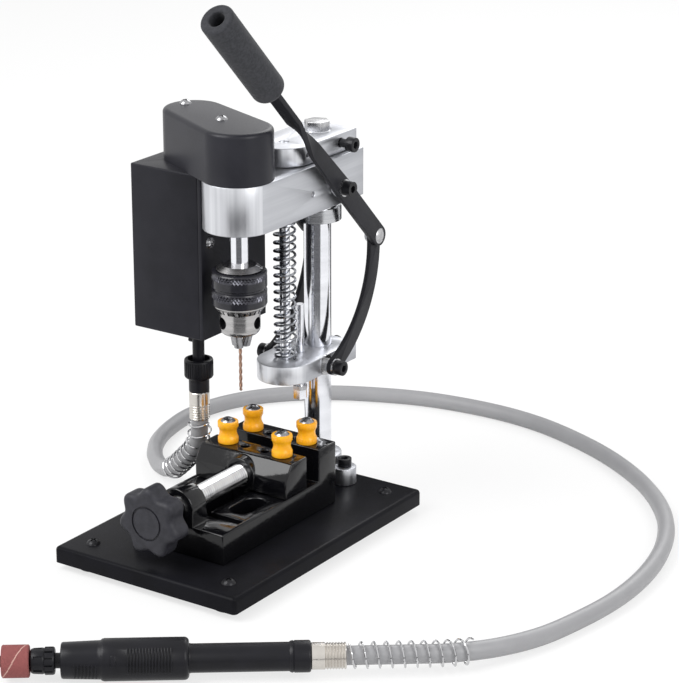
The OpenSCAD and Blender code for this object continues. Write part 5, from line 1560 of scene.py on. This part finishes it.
@dataclass
class Vice:
    """The cast vice with its moving jaw, screw, knob and pegs.

    The moving jaw has its face, the far edge of its top and its toe, and the knob its front, back and radius.
    """

    half: float = 32.0
    channel: float = 6.0
    front: float = -61.5
    rear: float = 48.0
    base: float = 14.0
    floor: float = 20.5
    rail: float = 32.0
    jaw_top: float = 52.0
    fixed_face: float = 31.0
    moving: tuple[float, float, float] = (19.0, 4.0, -2.0)
    slope: float = 9.0
    seat: float = 0.3
    cast_edge: float = 0.9
    screw_z: float = 41.0
    screw_r: float = 6.0
    screw_room: float = 0.05
    screw_end: float = 5.0
    thread_depth: float = 0.55
    boss_r: float = 10.0
    boss_stand: float = 0.6
    post_r: float = 11.5
    post_t: float = 13.5
    hole: tuple[float, float] = (18.0, -19.0)
    hole_size: tuple[float, float] = (13.0, 25.0)
    groove: tuple[float, float] = (-43.0, -38.0)
    groove_x: float = 28.5
    groove_depth: float = 4.0
    peg_x: tuple[float, ...] = (-19.0, -7.0, 7.0, 19.0)
    peg_y: tuple[float, float] = (37.2, 12.8)
    peg_r: float = 2.52
    peg_depth: float = 9.0
    peg_edge: float = 0.5
    knob: tuple[float, float, float] = (-88.0, -74.0, 20.3)
    knob_grip: float = 9.0
    knob_round: float = 3.2
    knob_steps: int = 144
    lobes: int = 7
    lobe_depth: float = 3.7
    cap_r: float = 9.4
    cap_groove: tuple[float, float] = (0.5, 0.8)
    pitch: float = 1.75

    def build(self) -> None:
        """Models the castings, the screw, the knob and the pegs."""
        Bench.hand_over(self.body(), "frame", CAST_BLACK, "vice_body")
        Bench.hand_over(self.jaw(), "sliding_jaw", CAST_BLACK, "moving_jaw")
        Bench.hand_over(self.screw(), "clamp_screw", THREAD, "vice_screw")
        Bench.hand_over(self.handle(), "clamp_screw", KNOB_BLACK, "vice_knob")
        for node, body in (("fixed_jaw_pegs", "frame"), ("moving_jaw_pegs", "sliding_jaw")):
            pegs = Bench.copy_of(node + "_piece", node)
            Bench.bevel(pegs, self.peg_edge, 3, 60.0)
            Bench.hand_over(pegs, body, ORANGE, node)

    def rod(self, name: str, radius: float, low: float, high: float) -> bpy.types.Object:
        """Makes a round bar along the vice screw's axis, as a boss or a cutter.

        Args:
            name: its name.
            radius: its radius.
            low: place where it starts.
            high: place where it ends.

        Returns:
            The bar.
        """
        return Bench.prism(name, circle(radius, 48, 0.0, self.screw_z), Axis.Y, low, high)

    def sink_pegs(self, obj: bpy.types.Object, y: float) -> None:
        """Sinks the peg holes into a jaw.

        Args:
            obj: the jaw.
            y: place of the row.
        """
        for x in self.peg_x:
            Bench.combine(obj, Bench.prism("hole", circle(self.peg_r, 24, x, y), Axis.Z,
                                           self.jaw_top - self.peg_depth, self.jaw_top + 1.0))

    def body(self) -> bpy.types.Object:
        """Models the bed with its rails, the fixed jaw and the front post.

        Returns:
            The body.
        """
        h, c = self.half, self.channel
        obj = Bench.block("vice_bed", (-h, self.front, self.base), (h, self.rear, self.rail))
        Bench.combine(obj, Bench.block("channel", (-c, self.front + 1.0, self.floor),
                                       (c, self.fixed_face + 1.0, self.rail + 1.0)))
        Bench.combine(obj, Bench.block("jaw", (-h, self.fixed_face, self.base), (h, self.rear, self.jaw_top)),
                      "UNION")
        outline = [(-self.post_r, self.base), (self.post_r, self.base)]
        outline += arc(self.post_r, 0.0, 180.0, 24, 0.0, self.screw_z)
        post_end = self.front + self.post_t
        Bench.combine(obj, Bench.prism("post", outline, Axis.Y, self.front, post_end), "UNION")
        Bench.combine(obj, self.rod("bore", self.screw_r + self.screw_room, self.front - 1, post_end + 1))
        (x, y), (wide, long) = self.hole, self.hole_size
        reach = (long - wide) / 2
        for side in (-1, 1):
            outline = arc(wide / 2, 0.0, 180.0, 16, side * x, y + reach)
            outline += arc(wide / 2, 180.0, 360.0, 16, side * x, y - reach)
            Bench.combine(obj, Bench.prism("hole", outline, Axis.Z, self.base - 1.0, self.rail + 1.0))
            ends = sorted((side * self.groove_x, side * (c - 1.0)))
            Bench.combine(obj, Bench.block("groove", (ends[0], self.groove[0], self.rail - self.groove_depth),
                                           (ends[1], self.groove[1], self.rail + 1.0)))
        self.sink_pegs(obj, self.peg_y[0])
        Bench.tidy(obj)
        Bench.bevel(obj, self.cast_edge, 3, 40.0)
        return obj

    def jaw(self) -> bpy.types.Object:
        """Models the moving jaw with its sloping back and the boss for the screw.

        Returns:
            The jaw.
        """
        face, top, toe = self.moving
        seat = self.rail + self.seat
        obj = Bench.prism("sliding_casting", [
            (toe, seat), (face, seat), (face, self.jaw_top), (top, self.jaw_top),
            (toe, self.jaw_top - self.slope),
        ], Axis.X, -self.half, self.half)
        Bench.combine(obj, self.rod("boss", self.boss_r, toe - self.boss_stand, face - 1.0), "UNION")
        side, low = self.channel - self.seat, self.floor + self.seat
        Bench.combine(obj, Bench.block("tongue", (-side, toe, low), (side, face, seat + 1.0)), "UNION")
        Bench.combine(obj, self.rod("bore", self.screw_r + self.screw_room, toe - 2.0,
                                    face - self.screw_end + self.seat))
        self.sink_pegs(obj, self.peg_y[1])
        Bench.tidy(obj)
        Bench.bevel(obj, self.cast_edge, 3, 40.0)
        return obj

    def screw(self) -> bpy.types.Object:
        """Models the screw: a plain end in the knob, then a ridged thread.

        Returns:
            The screw.
        """
        r, pitch, root = self.screw_r, self.pitch, self.screw_r - self.thread_depth
        start = self.knob[1] - self.knob_grip
        plain = self.front - start + 2.0
        end = self.moving[0] - self.screw_end - start
        profile = [(0.0, 0.0), (r - 0.02, 0.0), (r - 0.02, plain - 0.5)]
        for i in range(int((end - plain - 1.0) / pitch)):
            z = plain + pitch * i
            profile += [(root, z), (r, z + 0.35 * pitch), (r, z + 0.5 * pitch), (root, z + 0.9 * pitch)]
        profile += [(r - 0.6, end), (0.0, end)]
        obj = Bench.lathe("screw_rod", profile, 48)
        Bench.smooth(obj, 40.0)
        turn = Matrix.Translation((0.0, start, self.screw_z))
        return Bench.place(obj, turn @ turned(-90.0, "X"))

    def handle(self) -> bpy.types.Object:
        """Models the lobed knob with soft edges and the ring round its cap.

        Returns:
            The knob.
        """
        front, back, r = self.knob
        outline = []
        for u, v in circle(1.0, self.knob_steps):
            wave = 0.5 - 0.5 * math.cos(self.lobes * (math.atan2(v, u) - math.pi / 2))
            reach = r - self.lobe_depth * wave
            outline.append((reach * u, self.screw_z + reach * v))
        obj = Bench.prism("lobed_knob", outline, Axis.Y, front, back)
        with Bench.edit(obj):
            Bench.pick_edges(obj, lambda a, b: abs(a.y - b.y) < 0.1)
            bpy.ops.mesh.bevel(offset=self.knob_round * MM, segments=6, profile=0.5, affect="EDGES")
        Bench.tidy(obj)
        cap, (half, deep) = self.cap_r, self.cap_groove
        ring = Bench.lathe("groove", [
            (cap - half, -deep), (cap + half, -deep), (cap + deep, 1.0), (cap - deep, 1.0),
        ], 64)
        turn = Matrix.Translation((0.0, front, self.screw_z)) @ turned(90.0, "X")
        Bench.combine(obj, Bench.place(ring, turn))
        Bench.combine(obj, self.rod("bore", self.screw_r, back - self.knob_grip, back + 1.0))
        Bench.smooth(obj)
        return obj


@dataclass
class Studio:
    """Camera, lamps, world, floor and the two dark cards that show in reflections."""

    eye: Point = (804.9, -1085.6, 593.3)
    forward: Point = (-0.5305, 0.7806, -0.3305)
    lens: float = 134.8
    sensor: float = 36.0
    sight: float = 20.0
    lamps: Sequence[tuple[str, Point, Point, float, float]] = (
        ("key", (-700, -1100, 1500), (0, 0, 100), 1.2, 30.0),
        ("side", (1500, -300, 900), (0, 0, 120), 0.9, 12.0),
        ("back", (-300, 1400, 1200), (0, 0, 150), 1.0, 10.0),
    )
    fill: float = 0.5
    floor_size: float = 8.0
    floor_grey: float = 0.9
    floor_glow: float = 0.72
    card_color: Color = (0.06, 0.06, 0.065)
    card_rise: float = 0.5
    card_near: float = 260.0
    card_far: float = 1000.0
    card_spread: float = 34.0
    back: float = 300.0
    back_sides: tuple[float, float] = (-95.0, 300.0)
    back_height: float = 195.0

    def build(self) -> None:
        """Sets up the whole studio."""
        bpy.context.scene.view_settings.view_transform = "Standard"
        self.camera()
        self.world()
        self.floor()
        self.cards()
        for lamp in self.lamps:
            self.lamp(*lamp)

    def camera(self) -> None:
        """Places the camera at the photograph's viewpoint."""
        data = bpy.data.cameras.new("camera")
        data.lens = self.lens
        data.sensor_width = self.sensor
        data.clip_end = self.sight
        camera = bpy.data.objects.new("camera", data)
        camera.location = Vector(self.eye) * MM
        camera.rotation_euler = Vector(self.forward).to_track_quat("-Z", "Y").to_euler()
        bpy.context.scene.collection.objects.link(camera)
        bpy.context.scene.camera = camera

    def lamp(self, name: str, place: Point, target: Point, size: float, power: float) -> None:
        """Adds a soft lamp.

        Args:
            name: the lamp's name.
            place: where it hangs, in millimetres.
            target: what it points at.
            size: width of its panel in metres.
            power: its power in watts.
        """
        data = bpy.data.lights.new(name, "AREA")
        data.size = size
        data.energy = power
        lamp = bpy.data.objects.new(name, data)
        lamp.location = Vector(place) * MM
        lamp.rotation_euler = (Vector(target) - Vector(place)).to_track_quat("-Z", "Y").to_euler()
        bpy.context.scene.collection.objects.link(lamp)

    def world(self) -> None:
        """Makes a world that is white to look at and gives a soft fill."""
        world = bpy.data.worlds.new("studio")
        bpy.context.scene.world = world
        world.use_nodes = True
        tree = world.node_tree
        strength = tree.nodes.new("ShaderNodeMapRange")
        strength.inputs["To Min"].default_value = self.fill
        strength.inputs["To Max"].default_value = 1.0
        tree.links.new(self.seen(tree), strength.inputs["Value"])
        background = tree.nodes["Background"]
        background.inputs["Color"].default_value = (1.0, 1.0, 1.0, 1.0)
        tree.links.new(strength.outputs["Result"], background.inputs["Strength"])

    @staticmethod
    def seen(tree: bpy.types.NodeTree) -> bpy.types.NodeSocket:
        """Adds a test for rays from the camera, from gloss and through glass.

        Args:
            tree: the nodes to add it to.

        Returns:
            A socket that is 1 for such rays.
        """
        path = tree.nodes.new("ShaderNodeLightPath")
        total = path.outputs["Is Camera Ray"]
        for kind in ("Is Glossy Ray", "Is Transmission Ray"):
            both = tree.nodes.new("ShaderNodeMath")
            both.operation = "MAXIMUM"
            tree.links.new(total, both.inputs[0])
            tree.links.new(path.outputs[kind], both.inputs[1])
            total = both.outputs[0]
        return total

    def floor(self) -> None:
        """Lays the pale floor, which keeps a faint shadow."""
        Bench.clear()
        bpy.ops.mesh.primitive_plane_add(size=self.floor_size)
        floor = Bench.take("floor")
        material = bpy.data.materials.new("pale_floor")
        material.use_nodes = True
        tree = material.node_tree
        tree.nodes.remove(tree.nodes["Principled BSDF"])
        matt = tree.nodes.new("ShaderNodeBsdfDiffuse")
        matt.inputs["Color"].default_value = (*[self.floor_grey] * 3, 1.0)
        glow = tree.nodes.new("ShaderNodeEmission")
        glow.inputs["Color"].default_value = (1.0, 1.0, 1.0, 1.0)
        share = tree.nodes.new("ShaderNodeMath")
        share.operation = "MULTIPLY"
        share.inputs[1].default_value = self.floor_glow
        tree.links.new(self.seen(tree), share.inputs[0])
        mix = tree.nodes.new("ShaderNodeMixShader")
        tree.links.new(share.outputs[0], mix.inputs[0])
        tree.links.new(matt.outputs[0], mix.inputs[1])
        tree.links.new(glow.outputs[0], mix.inputs[2])
        tree.links.new(mix.outputs[0], tree.nodes["Material Output"].inputs["Surface"])
        floor.data.materials.append(material)

    def cards(self) -> None:
        """Sets two dark cards that show only in reflections: one lying in front, one standing at the back."""
        ahead = math.degrees(math.atan2(-self.forward[1], -self.forward[0]))
        low, high = ahead - self.card_spread, ahead + self.card_spread
        outline = arc(self.card_near, low, high, 12) + arc(self.card_far, high, low, 12)
        front = Bench.ring("front_card", [Vector((x, y, self.card_rise)) for x, y in outline], True)
        away = Vector((self.forward[0], self.forward[1], 0.0)).normalized()
        across = away.cross(Vector((0, 0, 1)))
        ends = [self.back * away + side * across for side in self.back_sides]
        rise = Vector((0, 0, self.back_height))
        back = Bench.ring("back_card", [ends[0], ends[1], ends[1] + rise, ends[0] + rise], True)
        material = bpy.data.materials.new("dark_card")
        material.use_nodes = True
        shader = material.node_tree.nodes["Principled BSDF"]
        shader.inputs["Base Color"].default_value = (*self.card_color, 1.0)
        shader.inputs["Roughness"].default_value = 1.0
        for card in (front, back):
            card.data.materials.append(material)
            card.visible_camera = False
            card.visible_diffuse = False
            card.visible_shadow = False


def dress_plain() -> None:
    """Gives the frame's solids that stay as they are their finishes."""
    for finish, names in PLAIN.items():
        for name in names:
            Bench.dress(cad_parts[name], finish)
    LOG.info("dressed %d plain solids", sum(len(names) for names in PLAIN.values()))


def main() -> None:
    """Builds the studio and every sub-assembly."""
    logging.basicConfig(level=logging.INFO, format="%(name)s: %(message)s")
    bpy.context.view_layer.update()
    for part in (Studio(), FlexShaft(), Handpiece(), Base(), Column(), Head(), Lever(), Chuck(), Vice()):
        part.build()
    dress_plain()


if __name__ == "__main__":
    main()
